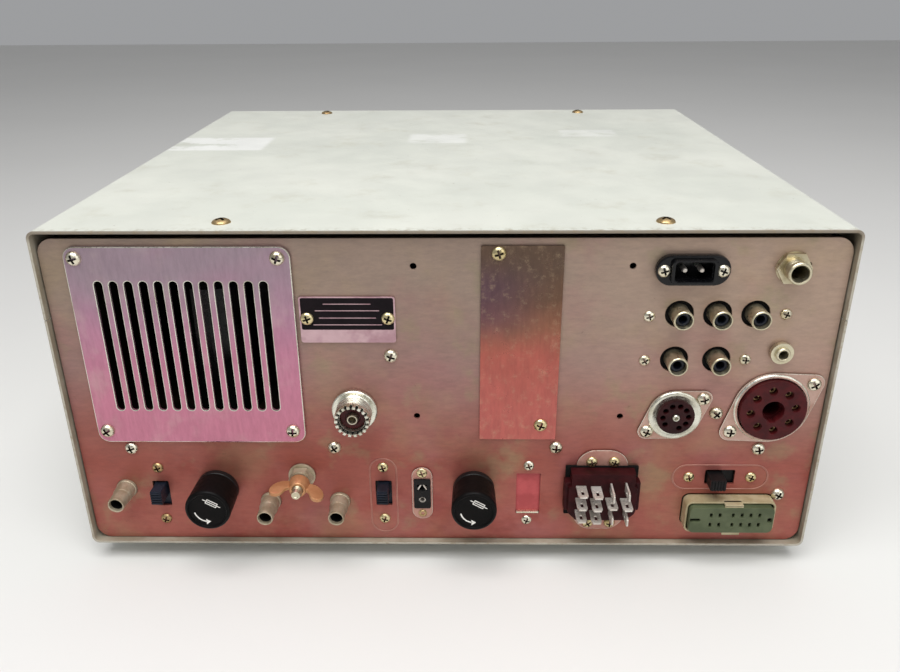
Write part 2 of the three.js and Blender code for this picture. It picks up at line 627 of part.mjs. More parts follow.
function knobs() {
  const plain = Object.entries(PLAIN_KNOBS).map(([name, { x, z, radius, reach }]) =>
    part(name, knob(radius, 1, reach), DARK_GREY, x, z));
  const dual = Object.entries(DUAL_KNOBS).flatMap(([name, { x, z, ring: ringName }]) => [
    part(name, knob(9, 6, 20), DARK_GREY, x, z),
    part(ringName, joined(ring(3.9, 14, 0.8, 5.2), block(0, -15.5, 4, 7, 0.8, 4.4)), DARK_GREY, x, z),
  ]);
  return [...plain, ...dual];
}

function toggles() {
  return TOGGLES.names.map((name, i) => {
    const lever = turned(
      [[0, -2.4], [1.8, -1.8], [2.5, 0], [1.6, 2], [1.5, 4], [2.7, 14], [1.9, 16], [0, 16.4]],
      12,
    );
    const mesh = part(name, lever, NICKEL, TOGGLES.x[i], TOGGLES.z, 1.5);
    mesh.rotation.x = THREE.MathUtils.degToRad(TOGGLES.tilt); // down, which is off
    return mesh;
  });
}

// ---- Assembly -------------------------------------------------------------------------------------

const rear = new THREE.Group();
rear.position.set(0, REAR_PANEL_Y, DATUM);
rear.rotation.z = HALF_TURN;
rear.add(rearPanel(), ...coverPlates(), antennaConnector(), ...jacks(), mainsInlet(), ...sockets());
rear.add(phonoStrip("phono_strip_upper", PHONO_UPPER), phonoStrip("phono_strip_lower", PHONO_LOWER));
rear.add(powerPlug());
rear.add(...auxJacks(), accessoryConnector(), dcSocket(), ...fuses(), ...groundTerminal(), ...slideKnobs());

const front = new THREE.Group();
front.position.set(0, FRONT_PANEL_Y, DATUM);
front.add(bezel(), frontPanel(), ...meter(), ...dial(), frontJacks(), tuningKnob(), ...knobs(), ...toggles());

const cabinet = new THREE.Group();
cabinet.add(...covers(), ...feet(), chassis(), carryHandle(), ...units());

// The origin is on the floor under the middle of the whole object, handle, screws and knobs included.
const transceiver = new THREE.Group();
transceiver.add(cabinet, rear, front);
transceiver.position.set(
  (HANDLE_REACH - SCREW.height) / 2,
  (TUNING_REACH - FRONT_PANEL_Y - (FUSE_REACH + REAR_PANEL_Y)) / 2,
  FOOT_HEIGHT,
);

export default transceiver;
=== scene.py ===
"""Looks for a desktop amateur radio transceiver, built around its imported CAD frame.

Shapes are in millimetres in the frame of the face they sit on: x to the right and y up as that face's
viewer sees them, z out of the face. Sub-parts are placed by the frame's nodes, and their details are
placed on them.
"""

import math

import bmesh
import bpy
from mathutils import Matrix, Vector


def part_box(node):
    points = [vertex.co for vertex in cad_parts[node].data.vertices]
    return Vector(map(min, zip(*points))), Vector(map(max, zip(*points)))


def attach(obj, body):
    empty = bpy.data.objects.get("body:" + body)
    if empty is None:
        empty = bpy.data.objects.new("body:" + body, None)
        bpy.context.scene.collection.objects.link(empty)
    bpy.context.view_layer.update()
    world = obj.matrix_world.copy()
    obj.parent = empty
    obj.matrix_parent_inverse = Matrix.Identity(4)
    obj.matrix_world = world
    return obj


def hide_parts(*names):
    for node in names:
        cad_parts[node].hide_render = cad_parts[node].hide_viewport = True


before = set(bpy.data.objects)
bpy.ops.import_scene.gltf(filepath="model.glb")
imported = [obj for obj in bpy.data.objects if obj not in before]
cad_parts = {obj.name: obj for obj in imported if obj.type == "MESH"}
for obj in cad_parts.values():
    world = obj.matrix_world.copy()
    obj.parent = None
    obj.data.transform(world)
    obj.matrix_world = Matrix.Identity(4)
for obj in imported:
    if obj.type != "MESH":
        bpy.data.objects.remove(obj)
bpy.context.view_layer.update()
MM = 0.001

# ---- Faces -------------------------------------------------------------------


def face(origin, right, up):
    """The matrix from a face's own millimetres to the frame's metres."""
    right, up = Vector(right), Vector(up)
    columns = (right, up, right.cross(up))
    rows = [[column[row] * MM for column in columns] + [origin[row]] for row in range(3)]
    return Matrix(rows + [[0, 0, 0, 1]])


def middle(node):
    low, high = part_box(node)
    return (low + high) / 2


COVER_LOW, COVER_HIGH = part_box("bottom_cover")
TOP_LOW, TOP_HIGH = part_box("top_cover")
PANEL_LOW, PANEL_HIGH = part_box("rear_panel")
CASE_X = (TOP_LOW.x + TOP_HIGH.x) / 2
CASE_WIDTH = (TOP_HIGH.x - TOP_LOW.x) / MM
CASE_FLOOR = COVER_LOW.z
SCREW_RISE = 1.9  # of the top cover's screws, which count in its node's box
CASE_HEIGHT = (TOP_HIGH.z - CASE_FLOOR) / MM - SCREW_RISE
COVER_LENGTH = (COVER_HIGH.y - COVER_LOW.y) / MM
SEAM = (TOP_LOW.z - CASE_FLOOR) / MM
SHEET = 1.2
CORNER = 3.2
PANEL_CORNER = 6.8
GAP = 0.3
DATUM_RISE = 2
DATUM = CASE_FLOOR + DATUM_RISE * MM  # heights on the rear and front panels count from here

EDGE_FACE = face((CASE_X, COVER_HIGH.y, CASE_FLOOR), (-1, 0, 0), (0, 0, 1))
REAR = face((CASE_X, PANEL_HIGH.y, DATUM), (-1, 0, 0), (0, 0, 1))
BUSHING_REACH = 3.5
FRONT_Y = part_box("front_panel")[0].y + BUSHING_REACH * MM
FRONT = face((CASE_X, FRONT_Y, DATUM), (1, 0, 0), (0, 0, 1))
TOP = face((CASE_X, COVER_HIGH.y, CASE_FLOOR + CASE_HEIGHT * MM), (1, 0, 0), (0, 1, 0))
UNDER = face((CASE_X, COVER_HIGH.y, CASE_FLOOR), (-1, 0, 0), (0, 1, 0))
RIGHT_SIDE = face((TOP_HIGH.x, COVER_HIGH.y, CASE_FLOOR), (0, 1, 0), (0, 0, 1))
LEFT_SIDE = face((TOP_LOW.x, COVER_HIGH.y, CASE_FLOOR), (0, -1, 0), (0, 0, 1))


def move(x, y, out=0):
    return Matrix.Translation((x, y, out))


def spin(degrees, axis="Z"):
    return Matrix.Rotation(math.radians(degrees), 4, axis)


def spot(on_face, node):
    """Where a node's middle is on a face, in that face's millimetres."""
    place = on_face.inverted() @ middle(node)
    return place.x, place.y


def at(on_face, x, y, out=0, turn=0):
    return on_face @ move(x, y, out) @ spin(turn)


def on(on_face, node, turn=0):
    return at(on_face, *spot(on_face, node), turn=turn)


# ---- Outlines and shapes -----------------------------------------------------


def arc(x, y, radius, start, end, steps):
    """Points along an arc whose ends are in degrees."""
    angles = [math.radians(start + (end - start) * i / steps) for i in range(steps + 1)]
    return [(x + radius * math.cos(a), y + radius * math.sin(a)) for a in angles]


def polar(radius, degrees, x=0, y=0):
    """The point at a radius and an angle about a centre."""
    angle = math.radians(degrees)
    return x + radius * math.cos(angle), y + radius * math.sin(angle)


def circle(x, y, radius, steps=40):
    return arc(x, y, radius, 0, 360, steps)[1:]


def rectangle(x, y, width, height, radius=0.0, steps=8):
    dx, dy = width / 2 - radius, height / 2 - radius
    corners = [(dx, -dy), (dx, dy), (-dx, dy), (-dx, -dy)]
    if not radius:
        return [(x + cx, y + cy) for cx, cy in corners]
    points = []
    for i, (cx, cy) in enumerate(corners):
        points += arc(x + cx, y + cy, radius, 90 * i - 90, 90 * i, steps)
    return points


class Build:
    """Collects shapes in one mesh, in a face's own millimetres."""

    def __init__(self):
        self.bm = bmesh.new()

    def lathe(self, profile, steps=48, x=0, y=0, closed=False):
        """Turns (radius, out) points about the out axis. Points on the axis close the ends."""
        rings = []
        for radius, out in profile:
            if radius == 0:
                rings.append([self.bm.verts.new((x, y, out))] * steps)
            else:
                points = circle(x, y, radius, steps)
                rings.append([self.bm.verts.new((px, py, out)) for px, py in points])
        pairs = list(zip(rings, rings[1:]))
        if closed:
            pairs.append((rings[-1], rings[0]))
        for low, high in pairs:
            for i in range(steps):
                j = (i + 1) % steps
                corners = dict.fromkeys((low[i], low[j], high[j], high[i]))
                if len(corners) > 2:
                    self.bm.faces.new(list(corners))
        return self

    def ring(self, profile, steps=48, x=0, y=0):
        """Turns a closed profile that stays off the axis."""
        return self.lathe(profile, steps, x, y, closed=True)

    def prism(self, outline, back, front, holes=(), edge=0.15):
        """A plate of an outline, with holes, whose edges are rounded by "edge"."""
        curve = bpy.data.curves.new("outline", "CURVE")
        curve.dimensions = "2D"
        curve.fill_mode = "BOTH"
        curve.extrude = (front - back) / 2 - edge
        curve.bevel_depth = edge
        curve.bevel_resolution = 1 if edge else 0
        curve.offset = -edge
        for loop in (outline, *holes):
            spline = curve.splines.new("POLY")
            spline.points.add(len(loop) - 1)
            for point, (px, py) in zip(spline.points, loop):
                point.co = (px, py, 0, 1)
            spline.use_cyclic_u = True
        source = bpy.data.objects.new("outline", curve)
        bpy.context.scene.collection.objects.link(source)
        mesh = bpy.data.meshes.new_from_object(source.evaluated_get(bpy.context.evaluated_depsgraph_get()))
        bpy.data.objects.remove(source)
        bpy.data.curves.remove(curve)
        return self.mesh(mesh, move(0, 0, (front + back) / 2), weld=True)

    def mesh(self, mesh, matrix, weld=False):
        part = bmesh.new()
        part.from_mesh(mesh)
        if weld:
            bmesh.ops.remove_doubles(part, verts=part.verts, dist=1e-3)
        part.transform(matrix)
        whole = bpy.data.meshes.new("part")
        part.to_mesh(whole)
        part.free()
        self.bm.from_mesh(whole)
        bpy.data.meshes.remove(whole)
        return self

    def add(self, build, matrix):
        """Takes in another Build, placed by a matrix. The other one can't be used again."""
        mesh = build.to_mesh("part")
        self.mesh(mesh, matrix)
        bpy.data.meshes.remove(mesh)
        return self

    def box(self, x, y, width, height, back, front, radius=0.0, edge=0.15):
        return self.prism(rectangle(x, y, width, height, radius), back, front, edge=edge)

    def turned(self, matrix):
        bmesh.ops.transform(self.bm, matrix=matrix, verts=self.bm.verts)
        return self

    def to_mesh(self, name):
        mesh = bpy.data.meshes.new(name)
        bmesh.ops.recalc_face_normals(self.bm, faces=self.bm.faces)
        self.bm.to_mesh(mesh)
        self.bm.free()
        return mesh


def piece(name, build, matrix, material, body="root", replaces=(), angle=38):
    """Makes one object of a Build, smooth where its faces meet at less than "angle" degrees."""
    mesh = build.to_mesh(name) if isinstance(build, Build) else build
    mesh.transform(matrix)
    mesh.materials.clear()
    mesh.materials.append(material)
    mesh.shade_smooth()
    mesh.set_sharp_from_angle(angle=math.radians(angle))
    obj = bpy.data.objects.new(name, mesh)
    bpy.context.scene.collection.objects.link(obj)
    normals = obj.modifiers.new("normals", "WEIGHTED_NORMAL")
    normals.keep_sharp = True
    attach(obj, body)
    if replaces:
        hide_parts(*replaces)
    return obj


# ---- Materials ---------------------------------------------------------------


def srgb(red, green, blue):
    """A colour given as 0 to 255 values, as the shader wants it."""
    values = [c / 255 for c in (red, green, blue)]
    return tuple(v / 12.92 if v <= 0.04045 else ((v + 0.055) / 1.055) ** 2.4 for v in values) + (1.0,)


class Paint:
    """A procedural material, made node by node on the object's own coordinates in metres."""

    def __init__(self, name, roughness=0.5, metallic=0.0, coat=0.0, specular=0.5):
        self.material = bpy.data.materials.new(name)
        self.material.use_nodes = True
        self.tree = self.material.node_tree
        self.shader = self.tree.nodes["Principled BSDF"]
        self.shader.inputs["Roughness"].default_value = roughness
        self.shader.inputs["Metallic"].default_value = metallic
        self.shader.inputs["Coat Weight"].default_value = coat
        self.shader.inputs["Specular IOR Level"].default_value = specular
        self.space = self.node("ShaderNodeTexCoord").outputs["Object"]
        self.height = None

    def node(self, kind, inputs=(), **settings):
        made = self.tree.nodes.new(kind)
        for key, value in settings.items():
            setattr(made, key, value)
        for key, value in dict(inputs).items():
            self.feed(made.inputs[key], value)
        return made

    def feed(self, socket, value):
        if isinstance(value, bpy.types.NodeSocket):
            self.tree.links.new(value, socket)
        else:
            socket.default_value = value

    def stretched(self, scale, shift=(0, 0, 0)):
        return self.node("ShaderNodeMapping", {"Vector": self.space, "Scale": scale,
                                               "Location": shift}).outputs[
            0
        ]

    def noise(self, size, detail=4, roughness=0.55, stretch=(1, 1, 1), shift=0.0):
        """Noise whose features are about "size" millimetres, longer along an axis with a small stretch."""
        vector = self.stretched(stretch, (shift, shift, shift))
        inputs = {"Vector": vector, "Scale": 1000 / size, "Detail": detail, "Roughness": roughness}
        return self.node("ShaderNodeTexNoise", inputs).outputs["Fac"]

    def along(self, axis):
        return self.node("ShaderNodeSeparateXYZ", {"Vector": self.space}).outputs[axis]

    def ranged(self, value, low, high, to_low=0.0, to_high=1.0):
        inputs = {"Value": value, "From Min": low, "From Max": high, "To Min": to_low, "To Max": to_high}
        return self.node("ShaderNodeMapRange", inputs, interpolation_type="SMOOTHSTEP").outputs["Result"]

    def math(self, operation, a, b=0.0):
        return self.node("ShaderNodeMath", {0: a, 1: b}, operation=operation).outputs[0]

    def times(self, a, b):
        return self.math("MULTIPLY", a, b)

    def ramp(self, value, stops):
        """A colour ramp of (place, (red, green, blue)) stops, in 0 to 255 values."""
        ramp = self.node("ShaderNodeValToRGB", {"Fac": value})
        elements = ramp.color_ramp.elements
        while len(elements) < len(stops):
            elements.new(1.0)
        for element, (place, color) in zip(elements, stops):
            element.position = place
            element.color = srgb(*color)
        return ramp.outputs["Color"]

    def mix(self, amount, a, b, kind="MIX"):
        mixer = self.node("ShaderNodeMix", data_type="RGBA", blend_type=kind)
        self.feed(mixer.inputs["Factor"], amount)
        self.feed(mixer.inputs["A"], a)
        self.feed(mixer.inputs["B"], b)
        return mixer.outputs["Result"]

    def drift(self, low, high, stops, size, detail, amount):
        """How high a place is between two heights in metres, and stops along it that wander with noise."""
        place = self.ranged(self.along("Z"), low, high)
        wander = self.times(self.math("SUBTRACT", self.noise(size, detail=detail), 0.5), amount)
        return place, self.ramp(self.math("ADD", place, wander), stops)

    def within(self, axis, low, high, soft):
        """One between two places along an axis, in metres, and nothing outside them."""
        place = self.along(axis)
        rise = self.ranged(place, low - soft, low + soft)
        fall = self.ranged(place, high - soft, high + soft, 1.0, 0.0)
        return self.times(rise, fall)

    def color(self, value):
        self.feed(self.shader.inputs["Base Color"], value)
        return self

    def rough(self, value):
        self.feed(self.shader.inputs["Roughness"], value)
        return self

    def bump(self, height, depth, strength=1.0):
        """Adds a bump "depth" millimetres deep."""
        inputs = {"Height": height, "Distance": depth * MM, "Strength": strength}
        made = self.node("ShaderNodeBump", inputs)
        if self.height:
            self.tree.links.new(self.height, made.inputs["Normal"])
        self.height = made.outputs["Normal"]
        self.tree.links.new(self.height, self.shader.inputs["Normal"])
        return self


def plain(name, base, second, size, roughness, metallic=0.0, grain=0.3, depth=0.02, coat=0.0, specular=0.5):
    """A material of two close colours in soft patches, with a fine grain and uneven gloss."""
    paint = Paint(name, roughness, metallic, coat, specular)
    patches = paint.ranged(paint.noise(size), 0.35, 0.65)
    paint.color(paint.mix(patches, srgb(*base), srgb(*second)))
    paint.rough(paint.ranged(paint.noise(size / 3, shift=3.1), 0.3, 0.7, roughness - 0.08, roughness + 0.1))
    return paint.bump(paint.noise(grain), depth).material


# tape residue on the top: from and to, left to right and forward of the rear edge, and its strength
RESIDUE = [(-166, -110, 165, 205, 0.85), (-25, 10, 185, 215, 0.6), (70, 105, 205, 228, 0.45)]


def cover_enamel():
    """Grey-green enamel with grime, old tape residue, rust spots along the rear edge, and a darker rear edge
    band that is part dirt and part painted shade, darkest on the top rim.
    """
    paint = Paint("cover_enamel", 0.42)
    color = paint.mix(paint.ranged(paint.noise(60), 0.3, 0.7), srgb(206, 207, 197), srgb(198, 200, 190))
    grime = paint.times(paint.ranged(paint.noise(26, detail=8, roughness=0.7, shift=5.2), 0.52, 0.78), 0.35)
    color = paint.mix(grime, color, srgb(160, 152, 128))
    rear = COVER_HIGH.y
    # The last 1.4 mm before the rear edge goes darker: part dirt, part painted shade.
    edge = paint.times(paint.ranged(paint.along("Y"), rear - 1.4 * MM, rear - 0.2 * MM), 0.6)
    color = paint.mix(edge, color, srgb(142, 128, 108))
    # On the top rim that band goes dark brown: painted shade at the edge over the gap.
    top_rim_shade = paint.ranged(paint.along("Z"), TOP_HIGH.z - 8 * MM, TOP_HIGH.z - 3 * MM)
    color = paint.mix(paint.times(edge, top_rim_shade), color, srgb(84, 66, 48))
    near_rear = paint.ranged(paint.along("Y"), rear - 7 * MM, rear - 0.5 * MM)
    worn = paint.times(near_rear, paint.ranged(paint.noise(3, detail=8, roughness=0.7, shift=1.7), 0.44, 0.7))
    color = paint.mix(paint.times(worn, 0.6), color, srgb(128, 110, 80))
    for low_x, high_x, near, far, strength in RESIDUE:
        patch = paint.times(
            paint.within("X", CASE_X - high_x * MM, CASE_X - low_x * MM, 2 * MM),
            paint.within("Y", rear - far * MM, rear - near * MM, 2 * MM),
        )
        torn = paint.ranged(
            paint.noise(15, detail=10, roughness=0.7, stretch=(0.6, 1, 1), shift=low_x), 0.38, 0.5
        )
        up = paint.ranged(paint.along("Z"), TOP_HIGH.z - 6 * MM, TOP_HIGH.z - 4 * MM)
        amount = paint.times(paint.times(patch, torn), paint.times(up, strength))
        color = paint.mix(amount, color, srgb(224, 224, 220))
    specks = paint.ranged(paint.noise(2.4, detail=2, shift=9.4), 0.72, 0.78)
    color = paint.mix(paint.times(specks, 0.5), color, srgb(96, 78, 52))
    paint.color(color)
    paint.rough(paint.ranged(paint.noise(18, detail=6, shift=2.2), 0.3, 0.7, 0.34, 0.52))
    paint.bump(paint.noise(1.1, detail=3), 0.03)
    return paint.bump(paint.noise(90, detail=1), 0.5, 0.5).material


def chromate(name, stops, strong=1.0):
    """Aged yellow chromate over steel: a vertical drift of colour, painted light towards the upper right,
    clouds, tarnish, dark red blotches low down that are painted shadow, and a rolled grain.
    """
    paint = Paint(name, 0.42, 0.55)
    place, color = paint.drift(PANEL_LOW.z, PANEL_HIGH.z, stops, 55, 3, 0.4 * strong)
    # Lighter towards the rear viewer's right, in the upper part: painted light.
    painted_light_right = paint.times(
        paint.ranged(paint.along("X"), PANEL_LOW.x, CASE_X, 0.55 * strong, 0.0),
        paint.ranged(place, 0.15, 0.7),
    )
    color = paint.mix(painted_light_right, color, srgb(184, 160, 142))
    clouds = paint.ranged(paint.noise(30, detail=6, shift=4.4), 0.48, 0.72)
    color = paint.mix(paint.times(clouds, 0.26 * strong), color, srgb(162, 146, 108))
    pink = paint.ranged(paint.noise(40, detail=5, shift=8.3), 0.5, 0.72)
    color = paint.mix(paint.times(pink, 0.30 * strong), color, srgb(158, 104, 110))
    # Dark red blotches low down: painted shadow with a red cast.
    painted_shadow_low = paint.ranged(place, 0.4, 0.12)
    red = paint.times(paint.ranged(paint.noise(24, detail=4, shift=2.9), 0.5, 0.68), painted_shadow_low)
    color = paint.mix(paint.times(red, 0.45 * strong), color, srgb(134, 52, 44))
    green = paint.times(paint.ranged(paint.noise(17, detail=4, shift=7.1), 0.56, 0.7), 0.32 * strong)
    color = paint.mix(green, color, srgb(142, 138, 104))
    grain = paint.noise(1.5, detail=6, roughness=0.72, stretch=(0.3, 1, 1))
    color = paint.mix(
        0.17, color, paint.ramp(grain, [(0.32, (90, 70, 60)), (0.68, (220, 205, 190))]), "OVERLAY"
    )
    spots = paint.ranged(paint.noise(3.2, detail=3, shift=6.6), 0.70, 0.80)
    color = paint.mix(paint.times(spots, 0.35), color, srgb(96, 66, 52))
    paint.color(color)
    paint.rough(paint.ranged(paint.noise(12, detail=6), 0.3, 0.7, 0.36, 0.52))
    return paint.bump(grain, 0.012).material


def lilac_aluminium():
    """Thin bright plate whose tint drifts from grey at the top to pink below."""
    paint = Paint("lilac_aluminium", 0.36, 0.7)
    low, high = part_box("vent_grille")
    stops = [(0.0, (190, 122, 142)), (0.5, (184, 124, 146)), (0.75, (172, 130, 150)), (0.97, (152, 134, 144))]
    _, color = paint.drift(low.z, high.z, stops, 40, 3, 0.5)
    grain = paint.noise(1.6, detail=5, roughness=0.7, stretch=(1, 1, 0.2))
    color = paint.mix(
        0.16, color, paint.ramp(grain, [(0.3, (120, 100, 110)), (0.7, (235, 225, 230))]), "OVERLAY"
    )
    dull = paint.ranged(paint.noise(14, detail=8, shift=2.7), 0.5, 0.75)
    color = paint.mix(paint.times(dull, 0.3), color, srgb(196, 178, 170))
    paint.color(color)
    paint.rough(paint.ranged(paint.noise(9, detail=6), 0.3, 0.7, 0.28, 0.46))
    return paint.bump(grain, 0.015).material


def plated(name, base, second, roughness=0.3):
    """Dulled plating with a thin brown film in patches."""
    paint = Paint(name, roughness, 0.95)
    film = paint.ranged(paint.noise(9, detail=3), 0.42, 0.72)
    paint.color(paint.mix(film, srgb(*base), srgb(*second)))
    paint.rough(
        paint.ranged(paint.noise(2, detail=5, shift=3.3), 0.3, 0.7, roughness - 0.06, roughness + 0.16)
    )
    return paint.bump(paint.noise(0.9, detail=2), 0.003).material


def glass(name, tint, roughness=0.04):
    paint = Paint(name, roughness)
    paint.shader.inputs["Transmission Weight"].default_value = 0.92
    paint.shader.inputs["IOR"].default_value = 1.45
    paint.color(paint.mix(paint.ranged(paint.noise(20), 0.3, 0.7), tint, srgb(250, 252, 250)))
    return paint.bump(paint.noise(30, detail=1), 0.05).material


ENAMEL = cover_enamel()
# Redder and a little darker towards the bottom: painted reflection of a red floor and painted shade.
PANEL = chromate("aged_chromate_and_painted_light", [
    (0.0, (160, 92, 82)), (0.2, (148, 82, 72)), (0.42, (150, 98, 90)), (0.68, (148, 118, 112)),
    (0.92, (148, 130, 118)),
])
# A near-black copy of the chromate for the chassis and parts inside the case: painted shade.
SHADED_CHROMATE = chromate(
    "inner_chromate_painted_shade", [(0.0, (46, 38, 30)), (0.5, (50, 42, 33)), (1.0, (52, 45, 36))], 0.3
)
RED_PLATE = plain("red_tarnish", (184, 82, 84), (164, 68, 70), 8, 0.42, 0.4)
LILAC = lilac_aluminium()
NICKEL = plated("dull_nickel", (205, 199, 182), (168, 156, 132))
SCREW_METAL = plated("screw_plating", (226, 220, 200), (188, 176, 146), 0.22)
OLD_SCREW = plated("old_screw_plating", (186, 160, 116), (142, 114, 78), 0.32)
COPPER = plain("coppered_brass", (196, 146, 104), (180, 128, 88), 6, 0.42, 0.55)
TINNED = plain("tinned_blade", (214, 208, 200), (190, 182, 172), 5, 0.32, 0.5)
CREAM = plain("cream_shell", (178, 166, 134), (160, 146, 112), 6, 0.45, 0.2)
BAKELITE = plain("maroon_bakelite", (74, 24, 26), (58, 19, 20), 5, 0.38, coat=0.05, specular=0.2)
BROWN_BAKELITE = plain("brown_bakelite", (52, 14, 17), (40, 11, 13), 6, 0.45, coat=0.0, specular=0.1)
BLACK = plain("black_moulding", (17, 16, 17), (23, 22, 22), 8, 0.4, coat=0.03, specular=0.15)
SATIN_BLACK = plain("satin_black", (22, 15, 19), (17, 12, 15), 6, 0.55, specular=0.1)
JACK_BLUE = plain("dark_insulator", (22, 26, 38), (15, 18, 26), 3, 0.35, specular=0.3)
# Near-black for dark parts and print, and for fills in bores, slots and gaps: painted shade.
DARK_PARTS_AND_SHADE = plain("dark_parts_and_painted_shade", (10, 9, 9), (15, 14, 13), 10, 0.8, specular=0.15)
WHITE_INK = plain("white_ink", (232, 230, 224), (214, 211, 204), 1.5, 0.5)
OLIVE = plain("olive_moulding", (84, 92, 66), (68, 76, 52), 9, 0.5, specular=0.3)
RUBBER = plain("foot_rubber", (30, 30, 30), (40, 39, 38), 5, 0.85, depth=0.05)
BEZEL = plain("bezel_enamel", (70, 71, 74), (62, 63, 66), 30, 0.42, 0.1)
PANEL_GREY = plain("panel_enamel", (150, 151, 150), (141, 142, 142), 40, 0.45, 0.35)
KNOB = plain("knob_moulding", (40, 40, 43), (33, 33, 35), 8, 0.42)
KNOB_METAL = plated("spun_aluminium", (196, 197, 198), (176, 176, 176), 0.26)
CLEAR = glass("clear_glass", srgb(236, 244, 240))
SMOKE = glass("tube_glass", srgb(214, 222, 210))
# The final tube's envelope near black: painted shade inside the case.
SHADED_TUBE = plain("tube_envelope_painted_shade", (20, 21, 20), (13, 14, 13), 18, 0.22, specular=0.3)
DIAL = plain("dial_face", (196, 204, 172), (184, 194, 160), 20, 0.5)
IRON = plain("painted_iron", (30, 30, 31), (22, 22, 23), 12, 0.6, 0.2)
BOARD = plain("phenolic_board", (140, 98, 52), (122, 82, 42), 12, 0.55)
# Darker walls for the screws' cross recesses: painted shade.
RECESS_SHADE = plain("screw_recess_shade", (40, 33, 24), (26, 22, 16), 1, 0.7, specular=0.1)
LINING = plain("cover_lining", (158, 150, 134), (138, 128, 110), 14, 0.6, specular=0.3)
ROSE_STEEL = plain("rose_steel", (182, 138, 124), (166, 118, 106), 8, 0.38, 0.55)
STRAP = plain("strap_vinyl", (34, 34, 36), (26, 26, 27), 6, 0.55, grain=0.9, depth=0.12)
NAME_METAL = plated("nameplate_metal", (202, 170, 176), (178, 142, 150), 0.34)
BRASS_SCREW = plated("brassy_screw", (214, 200, 156), (176, 156, 108), 0.24)
SILVER = plated("bright_nickel", (222, 221, 208), (192, 188, 170), 0.24)
DULL_NICKEL = plated("tinted_nickel", (190, 160, 148), (172, 136, 122), 0.36)
CREAM_NICKEL = plated("cream_nickel", (206, 198, 172), (176, 164, 134), 0.32)
GREY_METAL = plain("grey_plating", (180, 168, 146), (154, 140, 116), 5, 0.42, 0.5)
GLOSS_BLACK = plain("gloss_moulding", (8, 8, 10), (12, 12, 14), 8, 0.2, depth=0.006, coat=0.06, specular=0.25)
CAP_BLACK = plain(
    "fuse_cap_moulding", (14, 12, 12), (10, 9, 9), 7, 0.42, depth=0.006, coat=0.0, specular=0.08
)
KNOB_BLUE = plain("slide_knob_moulding", (28, 34, 46), (20, 24, 33), 4, 0.4, coat=0.0, specular=0.25)
DARK_BAKELITE = plain("dark_bakelite", (46, 13, 15), (34, 10, 12), 5, 0.4, coat=0.03, specular=0.15)
RED_BAKELITE = plain("red_bakelite", (72, 18, 21), (56, 14, 17), 5, 0.38, coat=0.04, specular=0.15)
RED_INK = plain("red_ink", (190, 52, 40), (170, 44, 36), 2, 0.5)
METER_FACE = plain("meter_face", (228, 222, 200), (220, 212, 188), 20, 0.6)


def blanking_film():
    """Thin steel whose film runs from dark brown at the top to rose below."""
    paint = Paint("blanking_film", 0.34, 0.7)
    low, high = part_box("blanking_plate")
    stops = [
        (0.0, (178, 98, 92)), (0.4, (168, 92, 82)), (0.62, (140, 94, 74)), (0.85, (104, 78, 62)),
        (1.0, (92, 74, 62))
    ]
    _, color = paint.drift(low.z, high.z, stops, 30, 4, 0.4)
    left = paint.ranged(paint.along("X"), low.x, high.x)
    upper = paint.within("Z", low.z + 52 * MM, low.z + 80 * MM, 9 * MM)
    violet = paint.times(paint.times(left, upper), 0.6)
    color = paint.mix(violet, color, srgb(86, 62, 84))
    dust = paint.ranged(paint.noise(3.5, detail=8, roughness=0.75, shift=2.2), 0.5, 0.74)
    color = paint.mix(paint.times(dust, 0.3), color, srgb(190, 168, 138))
    grain = paint.noise(1.6, detail=5, roughness=0.7, stretch=(1, 1, 0.2))
    color = paint.mix(
        0.18, color, paint.ramp(grain, [(0.3, (96, 76, 66)), (0.7, (226, 210, 196))]), "OVERLAY"
    )
    paint.color(color)
    paint.rough(paint.ranged(paint.noise(8, detail=6), 0.3, 0.7, 0.26, 0.44))
    return paint.bump(grain, 0.015).material


BLANK_FILM = blanking_film()

# ---- Screws ------------------------------------------------------------------


def cut(build, cutter, name):
    """The mesh of one Build less another, both in the same frame."""
    objects = []
    for part in (build, cutter):
        obj = bpy.data.objects.new(name, part.to_mesh(name))
        bpy.context.scene.collection.objects.link(obj)
        objects.append(obj)
    whole, tool = objects
    difference = whole.modifiers.new("cut", "BOOLEAN")
    difference.object = tool
    difference.operation = "DIFFERENCE"
    mesh = bpy.data.meshes.new_from_object(whole.evaluated_get(bpy.context.evaluated_depsgraph_get()))
    for obj in objects:
        bpy.data.objects.remove(obj)
    return mesh


def screw_mesh():
    """A domed head of radius 1 and height 1 with a cross recess, whose walls are the second material, a
    painted shade.
    """
    dome = [(math.cos(math.radians(a)), math.sin(math.radians(a))) for a in range(10, 90, 8)]
    head = Build().lathe([(0, -0.6), (0.98, -0.6), (1, 0)] + dome + [(0, 1)], 28)
    bars = Build()
    half, arm, low, high = 0.15, 0.6, -0.2, 1.6
    cross = [(half, arm), (half, half), (arm, half), (arm, -half), (half, -half), (half, -arm),
             (-half, -arm), (-half, -half), (-arm, -half), (-arm, half), (-half, half), (-half, arm)]
    mesh = cut(head, bars.prism(cross, low, high, edge=0.0), "head")
    for polygon in mesh.polygons:
        x, y, z = polygon.center
        if max(abs(x), abs(y)) < arm + 0.01 and min(abs(x),
                                                    abs(y)) < half + 0.01 and z < 0.93 and z > low - 0.01:
            if abs(polygon.normal.z) < 0.2 or z < low + 0.01:
                polygon.material_index = 1
    return mesh


SCREW = screw_mesh()


